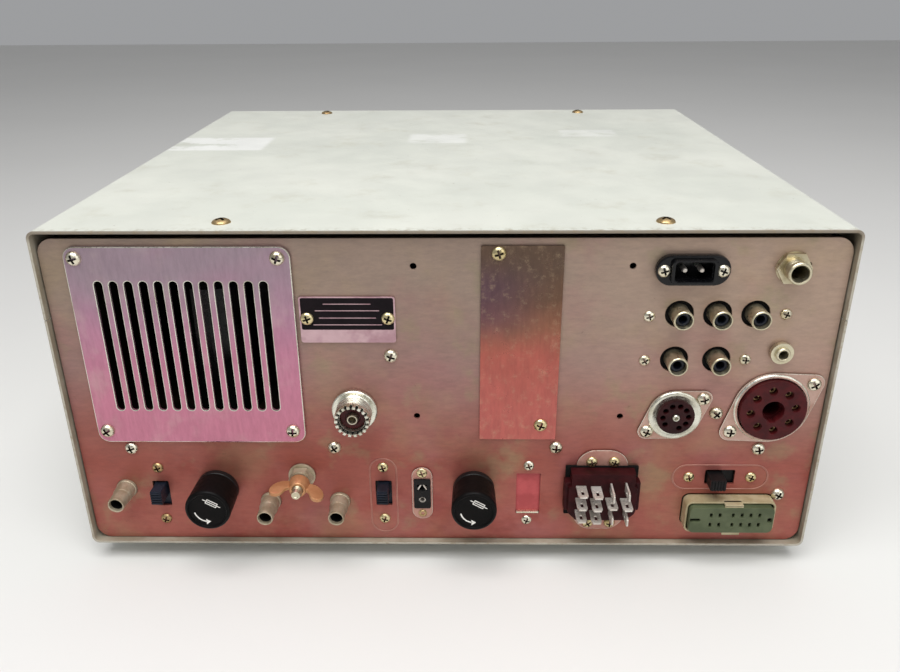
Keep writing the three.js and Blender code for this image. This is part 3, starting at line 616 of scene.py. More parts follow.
def screws(name, places, on_face, radius=3.1, height=1.5, out=0.0, material=None, body="root"):
    """One piece of several screws. A place is (x, y) or (x, y, turn in degrees)."""
    build = Build()
    for index, (x, y, *turn) in enumerate(places):
        angle = math.radians(turn[0] if turn else 17 + 53 * index)
        matrix = move(x, y, out) @ Matrix.Rotation(angle, 4, "Z")
        build.mesh(SCREW, matrix @ Matrix.Diagonal((radius, radius, height, 1)))
    made = piece(name, build, on_face, material or SCREW_METAL, body)
    made.data.materials.append(RECESS_SHADE)
    for index, polygon in enumerate(made.data.polygons):
        polygon.material_index = SCREW.polygons[index % len(SCREW.polygons)].material_index
    return made


# ---- Cabinet -----------------------------------------------------------------


SLOT_GROUPS = [(-85, -205), (95, -75)]
TOP_SCREW_X = 92
SIDE_SCREW_Y = 100
SCREW_INSET = 13


def cover_section(open_y, closed_y):
    """The U-shaped section of a cover, from its open edges to its closed side."""
    side = 1 if closed_y > open_y else -1
    half = CASE_WIDTH / 2
    bend_x, bend_y, inner = half - CORNER, closed_y - side * CORNER, CORNER - SHEET
    return [
        (-half, open_y),
        *arc(-bend_x, bend_y, CORNER, 180, 180 - side * 90, 10),
        *arc(bend_x, bend_y, CORNER, side * 90, 0, 10),
        (half, open_y),
        (half - SHEET, open_y),
        *arc(bend_x, bend_y, inner, 0, side * 90, 10),
        *arc(-bend_x, bend_y, inner, 180 - side * 90, 180, 10),
        (-half + SHEET, open_y),
    ]


def line_inside(obj, material):
    """Gives the faces of a cover that look at the case's axis another finish."""
    obj.data.materials.append(material)
    axis = Vector((CASE_X, 0, CASE_FLOOR + CASE_HEIGHT * MM / 2))
    for polygon in obj.data.polygons:
        inward = axis - polygon.center
        inward.y = 0
        if abs(polygon.normal.y) < 0.5 and polygon.normal.dot(inward) > 0:
            polygon.material_index = 1


def brighten_edges(obj, material):
    """Gives the rounded edges of a plate on the rear panel a brighter metal: painted highlight."""
    obj.data.materials.append(material)
    for polygon in obj.data.polygons:
        if 0.2 < polygon.normal.y < 0.95:
            polygon.material_index = 1


def cabinet():
    top = Build().prism(cover_section(SEAM, CASE_HEIGHT), -COVER_LENGTH, 0, edge=0.3)
    line_inside(
        piece("top_cover_shell", top, EDGE_FACE, ENAMEL, replaces=["top_cover"]), LINING
    )
    bottom = Build().prism(cover_section(SEAM - GAP, 0), -COVER_LENGTH, 0, edge=0.3)
    slots = Build()
    upright = spin(-90, "X")
    for place_x, place_y in SLOT_GROUPS:
        for index in range(9):
            x = place_x + (index - 4) * 7
            slots.prism(rectangle(-x, -place_y, 3.4, 56, 1.65, 5), -3, 3, edge=0)
    shell = cut(bottom, slots.turned(upright), "bottom_shell")
    line_inside(
        piece("bottom_cover_shell", shell, EDGE_FACE, ENAMEL, replaces=["bottom_cover"]),
        LINING
    )
    ends = (-SCREW_INSET, SCREW_INSET - COVER_LENGTH)
    screws(
        "top_cover_screws", [(x, y, 40) for x in (-TOP_SCREW_X, TOP_SCREW_X) for y in ends], TOP, 4, 1.85,
        material=OLD_SCREW
    )
    sides = [(y, SIDE_SCREW_Y) for y in ends]
    screws("right_side_screws", sides, RIGHT_SIDE, 4, 1.85, material=OLD_SCREW)
    screws("left_side_screws", [(-y, z) for y, z in sides], LEFT_SIDE, 4, 1.85, material=OLD_SCREW)
    foot = [(0, GAP), (9.3, GAP), (10.6, 1.2), (11, 2.5), (10.9, 4), (9.8, 8.6), (9.3, 9.6), (8.6, 10),
            (4.4, 10),
            (4, 9.6), (4, 7), (0, 7)]
    for node in ("front_left_foot", "front_right_foot", "rear_left_foot", "rear_right_foot"):
        piece(node + "_rubber", Build().lathe(foot), on(UNDER, node), RUBBER, replaces=[node])
        screws(node + "_screw", [(0, 0)], on(UNDER, node) @ move(0, 0, 7), 3.4, 1.6)


def strap_rise(s):
    """How far the handle's strap stands off the cover at a place along it."""
    t = min(max((86 - abs(s)) / 36, 0), 1)
    return 12.4 * t * t * (3 - 2 * t)


def handle():
    low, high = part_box("carry_handle")
    place = (low + high) / 2
    strap_face = face((TOP_LOW.x, place.y, place.z), (0, -1, 0), (-1, 0, 0))
    along = [-92 + 184 * i / 60 for i in range(61)]
    inner = [(s, GAP + strap_rise(s)) for s in along]
    outer = [(s, GAP + 5 + strap_rise(s)) for s in reversed(along)]
    strap = Build().prism(inner + outer, -10, 10, edge=1.2)
    piece("handle_strap", strap, strap_face, STRAP, replaces=["carry_handle"])
    caps = Build()
    for side in (-1, 1):
        caps.prism(rectangle(side * 83.5, 5, 22, 9.3, 2.2), -11, 11, edge=0.7)
    piece("handle_end_caps", caps, strap_face, KNOB_METAL)
    cap_face = face((TOP_LOW.x, place.y, place.z), (0, -1, 0), (0, 0, 1))
    screws("handle_screws", [(-84, 0), (84, 0)], cap_face, 3.4, 1.2, out=9.6, material=SCREW_METAL)


# ---- Rear panel and its covers -----------------------------------------------

VENT_AT = spot(REAR, "vent_grille")
BLANK_AT = spot(REAR, "blanking_plate")
SELECTOR_AT = (38.6, 24.9)
POWER_AT = (71.8, 27.4)
ACCESSORY_AT = (130.9, 16.8)
GROUND_AT = (-65.6, 35)
AUX_PAIR_X = (-16.2, 16.2)
PHONO_ROWS = {"upper": (-15.9, 0, 15.9), "lower": (-9, 9)}
# where each slide switch is, and whether it stands upright
SWITCH_AT = [(-132.2, 24.4, True), (-28.3, 25, True), (125.9, 34.4, False)]
PANEL_SCREWS = [
    (-142.5, 49.2), (-22.6, 95.6), (-49.8, 49.7), (50.4, 50), (120.1, 67.8), (141.2, 49.6), (153.6, 25.3)
]


def window(x, y, upright, width=7.5, height=13.5, radius=0.6):
    return rectangle(x, y, width, height, radius) if upright else rectangle(x, y, height, width, radius)


def rear_sheet():
    def jacks(node, offsets, radius):
        x, y = spot(REAR, node)
        return [circle(x + dx, y, radius) for dx in offsets]

    def hole(node, radius):
        return circle(*spot(REAR, node), radius)

    holes = [
        rectangle(VENT_AT[0], VENT_AT[1], 80, 66),
        rectangle(BLANK_AT[0], BLANK_AT[1], 24, 34),
        hole("antenna_connector", 8.3),
        rectangle(*spot(REAR, "mains_inlet"), 19.6, 11),
        hole("key_jack", 4.9),
        hole("speaker_jack", 3.4),
        hole("vfo_socket", 10.2),
        hole("remote_socket", 15),
        rectangle(POWER_AT[0], POWER_AT[1], 23, 25),
        rectangle(*ACCESSORY_AT, 41.8, 17.2, 3.3),
        circle(*GROUND_AT, 3.3),
        hole("aux_jack", 4.8),
        rectangle(*spot(REAR, "dc_socket"), 8.4, 16.6),
        rectangle(*SELECTOR_AT, 11, 22, 0.4),
        hole("fuse_holder_1", 7.8),
        hole("fuse_holder_2", 7.8),
        *[window(*place) for place in SWITCH_AT],
        *jacks("phono_strip_upper", PHONO_ROWS["upper"], 6),
        *jacks("phono_strip_lower", PHONO_ROWS["lower"], 6),
        *jacks("aux_jack_pair", AUX_PAIR_X, 4.8),
        *[circle(x, y, 1.4, 16) for x in (-12, 78) for y in (66, 136.2)],
        circle(149.4, 136.6, 1.2, 16),
    ]
    width = (PANEL_HIGH.x - PANEL_LOW.x) / MM
    height = (PANEL_HIGH.z - PANEL_LOW.z) / MM
    centre = ((PANEL_LOW.z + PANEL_HIGH.z) / 2 - DATUM) / MM
    sheet = Build().prism(rectangle(0, centre, width, height, PANEL_CORNER), -SHEET, 0, holes, edge=0.12)
    piece("rear_sheet", sheet, REAR, PANEL, replaces=["rear_panel"])
    # A flange behind the panel's top edge in the near-black chromate: painted shade in the gap under the top
    # cover.
    flange = Build().box(0, centre + height / 2 - SHEET / 2, width - 16, SHEET, -16, -SHEET / 2, 0.2)
    piece("rear_sheet_flange", flange, REAR, SHADED_CHROMATE)
    selector = Build().box(*SELECTOR_AT, 16.6, 24.6, -2.2, -1.3, 0.5)
    piece("selector_plate", selector, REAR, RED_PLATE)
    # A bright strip along the bottom edge of the selector's opening: painted highlight.
    lit_edge = Build().box(SELECTOR_AT[0], SELECTOR_AT[1] - 10.4, 10.4, 0.9, -1.35, 0.1, 0.2)
    piece("selector_edge_highlight", lit_edge, REAR, SCREW_METAL)
    screws("panel_screws", PANEL_SCREWS, REAR, 3.1, 2.3)
    screws("selector_screws", [(38.6, 40.2), (38.3, 10.3)], REAR, 2.5, 1.4)
    beads = Build()
    for x, y, width, height in ((-28.3, 23.5, 13, 41), (126, 34.4, 44, 13.5)):
        radius = min(width, height) / 2 - 0.05
        inner = rectangle(x, y, width - 1.5, height - 1.5, radius - 0.75, 12)
        beads.prism(rectangle(x, y, width, height, radius, 12), -0.2, 0.3, [inner], edge=0.24)
    brighten_edges(piece("switch_beads", beads, REAR, PANEL), ROSE_STEEL)


def vent():
    width, height, pitch = 93.6, 92, 6.27
    slots = [rectangle((i - 5.5) * pitch + 0.2, 0.7, 3.4, 60.6, 1.65, 6) for i in range(12)]
    grille = Build().prism(rectangle(0, 0, width, height, 5), GAP, GAP + 1.5, slots, edge=0.42)
    place = on(REAR, "vent_grille") @ move(0.5, 0.5)
    brighten_edges(
        piece("vent_plate", grille, place, LILAC, replaces=["vent_grille"]), SILVER
    )
    places = [(-151, 140.3), (-67.4, 140.3), (-151, 59.2), (-67.5, 59.2)]
    screws("vent_screws", places, REAR, 3.2, 2.3, out=GAP + 1.5)
    # A near-black frame behind the vent's slots: painted shade inside the case.
    shade = Build().prism(rectangle(*VENT_AT, 86, 74), -3.2, -2.2, [rectangle(*VENT_AT, 79, 65)], edge=0.1)
    piece("vent_shade_frame", shade, REAR, DARK_PARTS_AND_SHADE)


def nameplate():
    place = on(REAR, "nameplate")
    plate = Build().prism(rectangle(0, 0, 40.5, 21, 1.2), GAP, GAP + 0.7, edge=0.12)
    piece("nameplate_metal", plate, place, NAME_METAL, replaces=["nameplate"])
    field = Build().prism(rectangle(0, 2.7, 39.1, 14.4, 0.8), GAP + 0.68, GAP + 0.74, edge=0.02)
    piece("nameplate_field", field, place, SATIN_BLACK)
    lines = Build()
    for y, width in ((7.2, 20), (4.2, 27), (0.9, 24), (-2.2, 29)):
        lines.box(0, y, width, 0.35, GAP + 0.73, GAP + 0.78, edge=0.01)
    lines.prism(
        rectangle(5.5, -7.4, 17, 3.6), GAP + 0.68, GAP + 0.73, [rectangle(5.5, -7.4, 16.6, 3.2)], edge=0.01
    )
    piece("nameplate_rules", lines, place, NAME_METAL)
    screws("nameplate_screws", [(-57.3, 113.3), (-23.1, 113.3)], REAR, 2.9, 1.7, GAP + 0.7, BRASS_SCREW)


def blanking():
    plate = Build().prism(rectangle(0, 0, 34, 90.5, 0.6), GAP, GAP + 0.95, edge=0.16)
    piece(
        "blanking_sheet", plate, on(REAR, "blanking_plate"), BLANK_FILM,
        replaces=["blanking_plate"]
    )
    screws("blanking_screws", [(23.1, 142), (42.9, 62.2)], REAR, 3.1, 1.8, GAP + 0.95, BRASS_SCREW)


# ---- Connectors --------------------------------------------------------------


def thread(radius, start, stop, pitch=1.0, depth=0.28):
    """Profile points of a thread's ridges between two places along an axis."""
    count = int((stop - start) / pitch)
    points = []
    for i in range(count):
        out = start + i * pitch
        points += [(radius - depth, out), (radius, out + pitch * 0.45), (radius, out + pitch * 0.6)]
    return points + [(radius - depth, start + count * pitch)]


def toothed(outer, root, teeth, share=0.5):
    """An outline whose radius steps between two values."""
    points = []
    for i in range(teeth):
        for offset, radius in ((0.0, root), (0.5 - share / 2, root), (0.5 - share / 3, outer),
                               (0.5 + share / 3, outer),
                               (0.5 + share / 2, root)):
            angle = 2 * math.pi * (i + offset) / teeth
            points.append((radius * math.cos(angle), radius * math.sin(angle)))
    return points


def antenna():
    place = on(REAR, "antenna_connector")
    profile = [
        (5.7, -13), (6.5, -14), (6.5, -1.5), (7.6, -1.5), (7.6, GAP), (9.6, GAP), (10, 0.8), (10, 2.2),
        (9.6, 2.6), (8, 2.6)
    ]
    profile += thread(7.9, 3, 9) + [(7.6, 9.4), (7.6, 10), (5.7, 10)]
    piece(
        "antenna_shell", Build().ring(profile), place, SILVER,
        replaces=["antenna_connector"]
    )
    # A near-black ring at the foot of the crown: painted shadow.
    shadow = Build().ring([(5.8, 9.9), (7.35, 9.9), (7.35, 10.1), (5.8, 10.1)], 48)
    piece("antenna_crown_root_shade", shadow, place, DARK_PARTS_AND_SHADE)
    crown = Build()
    for tooth in range(18):
        turn = spin(20 * tooth)
        crown.add(Build().box(6.85, 0, 1.5, 1.45, 9.9, 11.9, 0.2, edge=0.25), turn)
    piece("antenna_crown", crown, place, SILVER)
    insulator = [(2.6, -8), (5.65, -8), (5.65, 7.6), (5.2, 8), (3.4, 8), (3.2, 7.4), (2.6, 7.4)]
    piece("antenna_insulator", Build().ring(insulator), place, BAKELITE)
    contact = [(0, -10), (2.5, -10), (2.5, 9.6), (2.2, 10.2), (1.75, 10.2), (1.7, 2), (0, 2)]
    piece("antenna_contact", Build().lathe(contact, 32), place, NICKEL)


def panel_jack(name, node, bore, barrel, reach, nut, sides, flare, metal):
    place = on(REAR, node)
    profile = [(bore, -12), (barrel, -12), (barrel, 2.4)] + thread(barrel, 2.6, reach - 3, 0.8, 0.22)
    profile += [(barrel - 0.1, reach - 2.6), (flare, reach - 2.2), (flare, reach - 0.4),
                (flare - 0.35, reach),
                (bore + 0.35, reach), (bore, reach - 0.5)]
    piece(name + "_barrel", Build().ring(profile, 48), place, metal, replaces=[node])
    nuts = Build().prism(
        circle(0, 0, nut, sides), GAP + 0.4, GAP + 2.4, [circle(0, 0, barrel - 0.2)], edge=0.2
    )
    nuts.prism(circle(0, 0, nut * 0.93), 0.05, GAP + 0.4, [circle(0, 0, barrel - 0.2)], edge=0.1)
    piece(name + "_nut", nuts, place, metal)
    # A near-black disc down the bore: painted shade.
    piece(
        name + "_bore_shade", Build().lathe([(0, -9), (bore + 0.4, -9), (bore + 0.4, -8), (0, -8)], 24), place,
        DARK_PARTS_AND_SHADE
    )


def phono_jacks():
    for row, offsets in PHONO_ROWS.items():
        node = f"phono_strip_{row}"
        place = on(REAR, node)
        low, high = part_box(node)
        strip = Build().box(0, 0, (high.x - low.x) / MM, 12, -3.2, -1.7, 1)
        piece(node + "_board", strip, place, DARK_PARTS_AND_SHADE, replaces=[node])
        for index, offset in enumerate(offsets, 1):
            jack = place @ move(offset, 0)
            sleeve = [(3.0, -1.7), (4.2, -1.7), (4.1, 0), (4.05, 6), (4.25, 7), (4.2, 7.8), (3.9, 8.1),
                      (3.55, 8.1),
                      (3.35, 7.6), (3.15, 5.5), (3.0, 2)]
            piece(f"{node}_sleeve_{index}", Build().ring(sleeve, 48), jack, CREAM_NICKEL)
            core = [(1.55, 0), (3.1, 0), (3.1, 5.6), (2.8, 6), (1.9, 6), (1.6, 5.6)]
            piece(f"{node}_insulator_{index}", Build().ring(core, 40), jack, JACK_BLUE)
            # A near-black disc at the foot of the centre hole: painted shade.
            back = [(0, 0), (1.7, 0), (1.7, 1), (0, 1)]
            piece(f"{node}_contact_{index}", Build().lathe(back, 20), jack, DARK_PARTS_AND_SHADE)
    screws("phono_screws", [(86.6, 114), (143.4, 115), (86.4, 93.5), (129.3, 94)], REAR, 2.5, 1.5)


def aux_jacks():
    sleeve = [(2.6, 1), (4.2, -2), (4.7, -2), (4.7, 0.9), (4.5, 1.2), (4.3, 1.3), (4.25, 6.2), (3.95, 6.8),
              (3.85, 7.2),
              (3.75, 13.4), (3.55, 14), (3.1, 14), (2.8, 13.4)]
    pair = on(REAR, "aux_jack_pair")
    places = [on(REAR, "aux_jack")] + [pair @ move(dx, 0) for dx in AUX_PAIR_X]
    nodes = [["aux_jack"], ["aux_jack_pair"], []]
    for index, (place, replaced) in enumerate(zip(places, nodes), 1):
        piece(
            f"aux_sleeve_{index}", Build().ring(sleeve, 40), place, GREY_METAL,
            replaces=replaced
        )
        # A near-black lining in the bore: painted shade.
        bore = Build().lathe([(0, 1), (2.95, 1), (2.95, 12.4), (2.6, 12.4), (2.6, 3), (0, 3)], 32)
        piece(f"aux_bore_shade_{index}", bore, place, DARK_PARTS_AND_SHADE)


def mains():
    place = on(REAR, "mains_inlet")
    body = Build().prism(
        rectangle(0, 0, 30.4, 13.2, 6.55, 14), GAP, 3.7, [rectangle(0, 0, 15, 8, 1.4)], edge=0.8
    )
    body.prism(rectangle(0, 0, 18.6, 10.4, 2), 3, 5.5, [rectangle(0, 0, 15.6, 8.2, 1.4)], edge=0.45)
    body.prism(rectangle(0, 0, 17.8, 9.8), -9, 0.8, [rectangle(0, 0, 15.6, 8.2, 1.4)], edge=0.1)
    body.box(0, 0, 17.8, 9.8, -12, -6)
    piece("mains_moulding", body, place, GLOSS_BLACK, replaces=["mains_inlet"])
    pins = Build()
    for x in (-3.45, 3.45):
        pins.lathe([(0, -7), (1.1, -7), (1.1, 2.6), (0.8, 3.3), (0.4, 3.5), (0, 3.5)], 20, x=x)
    piece("mains_pins", pins, place, TINNED)
    screws("mains_screws", [(-11.9, 0), (11.9, 0)], place, 2.7, 1.6, 3.6)


def saddle_outline(radius, ear, ear_radius, tilt):
    """A round plate with an ear on each side, on a line tilted by some degrees."""
    lean = math.degrees(math.acos((radius - ear_radius) / ear))
    points = []
    for turn in (tilt, tilt + 180):
        points += arc(*polar(ear, turn), ear_radius, turn - lean, turn + lean, 12)
        points += arc(0, 0, radius, turn + lean, turn + 180 - lean, 24)
    return points


def round_sockets():
    place = on(REAR, "vfo_socket")
    saddle = Build().prism(saddle_outline(12, 14.4, 3.8, 34.6), GAP, GAP + 0.8, [circle(0, 0, 10)], edge=0.2)
    brighten_edges(
        piece("nine_pin_saddle", saddle, place, DULL_NICKEL, replaces=["vfo_socket"]),
        SILVER
    )
    cup = [
        (8.4, 0.4), (11.2, 0.4), (11.7, 0.8), (11.7, 1.3), (11.3, 1.8), (10.6, 2), (9.8, 1.7), (8.9, 1.5),
        (8.4, 1.5)
    ]
    piece("nine_pin_cup", Build().ring(cup, 64), place, SILVER)
    pins = [circle(*polar(5.6, a), 1.15, 16) for a in range(-70, 254, 36)]
    disc = Build().prism(circle(0, 0, 8.35, 56), 0.2, 3.4, pins + [circle(0, 0, 1.6, 20)], edge=0.4)
    disc.lathe([(0, -12), (8.2, -12), (8.2, 0.1), (0, 0.1)], 40)
    piece("nine_pin_disc", disc, place, DARK_BAKELITE)
    spigot = [(0, 1), (1.55, 1), (1.55, 4), (1.3, 4.3), (0.95, 4.3), (0.9, 2.6), (0, 2.6)]
    piece("nine_pin_spigot", Build().lathe(spigot, 28), place, SILVER)

    place = on(REAR, "remote_socket")
    saddle = Build().prism(
        saddle_outline(17, 20.4, 4.6, 35.3), GAP, GAP + 0.8, [circle(0, 0, 14.9)], edge=0.2
    )
    saddle.ring([(14.75, 0.4), (16.4, 0.9), (16.5, 1.3), (15.9, 1.9), (15.2, 2), (14.75, 1.6)], 72)
    brighten_edges(
        piece("octal_saddle", saddle, place, DULL_NICKEL, replaces=["remote_socket"]),
        SILVER
    )
    holes = [circle(*polar(9.7, a), 1.75, 20) for a in range(8, 368, 45)]
    key = arc(0, 0, 4.7, -65, 245, 36) + [(-1.1, -5.5), (1.1, -5.5)]
    disc = Build().prism(circle(0, 0, 14.55, 72), 0, 4, holes + [key], edge=0.45)
    disc.ring([(4.3, -12), (14.2, -12), (14.2, -0.1), (4.3, -0.1)], 48)
    piece("octal_disc", disc, place, RED_BAKELITE)
    contacts = Build()
    for angle in range(8, 368, 45):
        contacts.ring([(0.9, 0), (1.5, 0), (1.5, 1.6), (0.9, 1.6)], 14, *polar(9.7, angle))
    piece("octal_contacts", contacts, place, OLD_SCREW)
    screws("socket_screws", [(113.6, 75.4), (90, 59), (160.2, 82.6), (127, 59)], REAR, 3.1, 1.9, GAP + 0.8)


def power_plug():
    place = at(REAR, *POWER_AT)
    saddle = Build().prism(rectangle(0, 0, 23.4, 43, 8.6, 12), GAP, GAP + 0.7, edge=0.2)
    brighten_edges(
        piece("power_saddle", saddle, place, ROSE_STEEL, replaces=["power_plug"]), SILVER
    )
    screws(
        "power_screws", [(-4.9, 15.6), (5.3, 15.6), (-4.9, -17.8), (5.3, -17.8)], place, 2.6, 1.6,
        GAP + 0.7, BRASS_SCREW
    )
    # A near-black rim that shows round the block: painted shadow where it stands on the saddle.
    back = Build().box(0, 0.6, 33, 26, 0.5, 1.6, 0.4)
    piece("power_block_shadow", back, place, DARK_PARTS_AND_SHADE)
    half = [(15.6, -7), (15.6, 5.6), (14.4, 6.4), (14.4, 12.9), (0, 12.9)]
    outline = [(11.6, -12.1)] + [(15, -8.6)] + half + [(-x, y) for x, y in reversed(half[:-1])] + [
        (-15, -8.6), (-11.6, -12.1)
    ]
    block = Build().prism(outline, 1, 7.5, edge=0.7)
    block.prism(rectangle(0, 0, 34.4, 15.4, 0.8), 1, 5.6, edge=0.5)
    block.box(0, 0, 21.6, 23.6, -12, 1.2)
    piece("power_block", block, place, BROWN_BAKELITE)
    blades = Build()
    side_on = spin(90, "X")
    for column, x in enumerate((-10.1, -3.4, 3.4, 10.1)):
        for row, y in enumerate((6.3, 0, -6.3)):
            upright = column > 1 and row != 1
            blade = Build().prism([(-2.3, 6), (2.3, 6), (2.3, 15.6), (1.6, 16.9), (-1.6, 16.9), (-2.3, 15.6)],
                                  -0.42, 0.42,
                                  [rectangle(0, 13.2, 1.3, 3.4, 0.5, 4)], edge=0.12)
            turn = spin(90) if upright else Matrix.Identity(4)
            lean = spin((column * 7 + row * 11) % 5 - 2, "X")
            blades.add(blade, move(x, y) @ lean @ turn @ side_on)
    piece("power_blades", blades, place, TINNED)


def accessory():
    place = at(REAR, *ACCESSORY_AT)
    shell = Build().prism(rectangle(0, 0, 41, 16.4, 3), 0, 6.5, [rectangle(0, 0, 39, 14.4, 2)], edge=0.35)
    for y, width in ((7.75, 8.4), (-7.75, 8)):
        shell.box(0.6, y, width, 0.9, 5, 8.8, 0.3, edge=0.25)
        shell.box(0.6, y * 0.95, width, 1.3, 7.9, 8.8, 0.4, edge=0.25)
    piece("accessory_shell", shell, place, CREAM, replaces=["accessory_connector"])
    slots = []
    for x in (-9.4, -5.4, 0.6, 4.6, 8.6, 12.6):
        slots += [rectangle(x, 2.6, 1.1, 2.2, 0.3, 3), rectangle(x, -2.6, 1.1, 2.2, 0.3, 3)]
    grooves = [rectangle(-16.4, 0, 4.6, 1.5, 0.5, 4), rectangle(17.4, 0, 1.9, 2.4, 0.5, 4)]
    block = Build().prism(rectangle(0, 0, 38.4, 13.8, 2.6), 7, 9, slots + grooves, edge=0.4)
    block.prism(rectangle(0, 0, 38.2, 13.6, 2.6), -7.6, 6.9, edge=0.2)
    piece("accessory_block", block, place, OLIVE)
    # A near-black floor under the slotted face: painted shade in the slots.
    floor = Build().box(0, 0, 37, 12, 6.95, 7.3, 1)
    piece("accessory_slot_shade", floor, place, DARK_PARTS_AND_SHADE)


def dc_socket():
    place = on(REAR, "dc_socket")
    saddle = Build().prism(
        rectangle(0, 0, 9.4, 28, 4.55, 12), GAP, GAP + 0.6, [rectangle(0, 0, 7.2, 15.6, 0.6)], edge=0.16
    )
    brighten_edges(
        piece("dc_saddle", saddle, place, ROSE_STEEL, replaces=["dc_socket"]), SILVER
    )
    insert = Build().prism(rectangle(0, 0, 7.8, 16, 0.9), -9, 1.6, edge=0.3)
    openings = Build().prism(circle(0, -3.4, 1.7), -4, 3, edge=0).box(0, 3.6, 4.6, 3.2, -2, 3)
    piece("dc_insert", cut(insert, openings, "insert"), place, BLACK)
    contacts = Build()
    for lean in (-28, 28):
        prong = Build().box(0, 0, 0.7, 3.2, -1.9, 1.2, edge=0.1)
        spread = move(lean / 22, 3.6) @ spin(lean)
        contacts.add(prong, spread)
    contacts.ring([(1.1, -3.6), (1.65, -3.6), (1.65, 0.9), (1.1, 0.9)], 24, 0, -3.4)
    piece("dc_contacts", contacts, place, TINNED)
    screws("dc_screws", [(0, 11.1)], place, 2.5, 1.0, GAP + 0.6, BRASS_SCREW)
    eyelet = Build().ring([(0.8, 0.6), (1.9, 0.6), (2, 1.1), (1.5, 1.5), (0.9, 1.3)], 24, 0, -10.9)
    piece("dc_eyelet", eyelet, place, OLD_SCREW)


def ground():
    place = at(REAR, *GROUND_AT)
    post = [(0, -8), (2.3, -8), (2.3, 6)] + thread(2.4, 6, 15.6, 0.7, 0.2) + [
        (2.1, 16.4), (1.9, 17), (1.2, 17), (1, 16.8), (0, 16.8)
    ]
    piece(
        "ground_stud", Build().lathe(post, 32), place, CREAM_NICKEL,
        replaces=["ground_post"]
    )
    stack = Build().ring([(2.2, 0.3), (6.1, 0.3), (6.2, 0.5), (6.2, 1.3), (5.9, 1.5), (2.2, 1.5)], 48)
    stack.prism(circle(0, 0, 5.6, 6), 1.6, 5.5, [circle(0, 0, 2.2)], edge=0.35)
    stack.ring([(2.2, 5.5), (4.6, 5.5), (4.6, 6.2), (2.2, 6.2)], 40)
    piece("ground_nuts", stack, place, GREY_METAL)
    hub = Build().ring(
        [(2.6, 6.7), (4.3, 6.7), (4.7, 7.2), (4.6, 9), (3.9, 12.4), (3.5, 12.8), (2.6, 12.8)], 40
    )
    lobe = [(3, 7.2), (5.2, 7.3), (7.6, 8), (9.6, 9.6), (11.2, 11.8), (12, 14), (12.1, 16.2), (11.4, 17.9),
            (10.1, 18.7),
            (8.4, 18.6), (6.9, 17.5), (6, 15.8), (5.5, 14.2), (4.8, 13.1), (4, 12.5), (3, 12.4)]
    for side in (1, -1):
        wing = Build().prism([(x * side, y) for x, y in lobe][::side], -0.9, 0.9, edge=0.45)
        hub.add(wing, spin(90, "X"))
    turned = place @ spin(-9)
    piece("wing_nut_casting", hub, turned, COPPER, body="wing_nut", replaces=["wing_nut"])


def fuses():
    for number in (1, 2):
        place = on(REAR, f"fuse_holder_{number}")
        holder = [
            (3.9, -36), (7.3, -36), (7.3, GAP), (9.4, GAP), (9.6, 0.6), (9.6, 2.9), (9.3, 3.2), (3.9, 3.2)
        ]
        piece(f"fuse_holder_{number}_body", Build().ring(holder, 48), place, BLACK,
              replaces=[f"fuse_holder_{number}"])
        cap = [(0, 9.6), (3.7, 9.6), (3.7, 3.7), (9.4, 3.7), (9.75, 4), (9.8, 5), (10.0, 12), (10.15, 17.4),
               (10.0, 18.2),
               (9.5, 18.8), (8.9, 19), (8.5, 18.8), (8.3, 18.35), (7.8, 18.25), (0, 18.25)]
        body = f"fuse_cap_{number}"
        piece(body + "_moulding", Build().lathe(cap, 64), place, CAP_BLACK, body, [body])
        ink = Build().prism(
            arc(0, 0, 6.3, 192, 262, 20) + arc(0, 0, 5.7, 262, 192, 20), 18.2, 18.32, edge=0.02
        )
        ink.prism([(-1.1, -7.5), (0.9, -5.9), (-1.2, -4.6)], 18.2, 18.32, edge=0.02)
        ink.add(Build().prism(rectangle(0, 0, 5.4, 2.4, 0.3, 4), 18.2, 18.32,
                              [rectangle(0, 0, 4.6, 1.6, 0.2, 4)], edge=0.02)
                 .box(0, 0, 8.6, 0.4, 18.2, 18.32, edge=0.02), move(2.1, 3.6) @ spin(-30))
        piece(body + "_mark", ink, place, WHITE_INK, body)
        tube = [(0, -21), (2.9, -21), (2.9, 8.5), (0, 8.5)]
        piece(
            f"fuse_{number}_tube", Build().lathe(tube, 32), place, SMOKE, f"fuse_{number}",
            [f"fuse_{number}"]
        )
        ends = Build()
        for low in (-22, 3.4):
            ends.lathe(
                [(0, low), (2.9, low), (3.2, low + 0.3), (3.2, low + 5.8), (3.0, low + 6.1), (0, low + 6.1)],
                32
            )
        piece(f"fuse_{number}_end_caps", ends, place, NICKEL, f"fuse_{number}")


def slide_switches():
    for number, (x, y, upright) in enumerate(SWITCH_AT, 1):
        node = f"slide_knob_{number}"
        place = at(REAR, *spot(REAR, node))
        turn = Matrix.Identity(4) if upright else spin(90)
        knob = Build().box(0, 0, 5.2, 7.1, -2.6, 7.5, 0.4, edge=0.3)
        for ridge in range(5):
            knob.box(0, -2.6 + ridge * 1.3, 4.9, 0.62, 7.1, 8, 0.1, edge=0.15)
        knob.box(0, 0, 9.3, 21, -3, -1.9, 0.4)
        piece(
            node + "_moulding", knob, place @ turn, KNOB_BLUE if upright else BLACK, node,
            [node]
        )
        centre = at(REAR, x, y) @ turn
        screws(
            f"slide_switch_{number}_screws", [(0, 14.1), (0, -14.1)], centre, 2.6, 1.5, 0,
            OLD_SCREW if number == 1 else BRASS_SCREW
        )


# ---- Front -------------------------------------------------------------------


TOGGLES = {"power_toggle": -138, "standby_toggle": -112, "calibrator_toggle": -86}
TOGGLE_Y = 72
MIC_AT = (-136, 30)
PHONES_AT = (-98, 30)


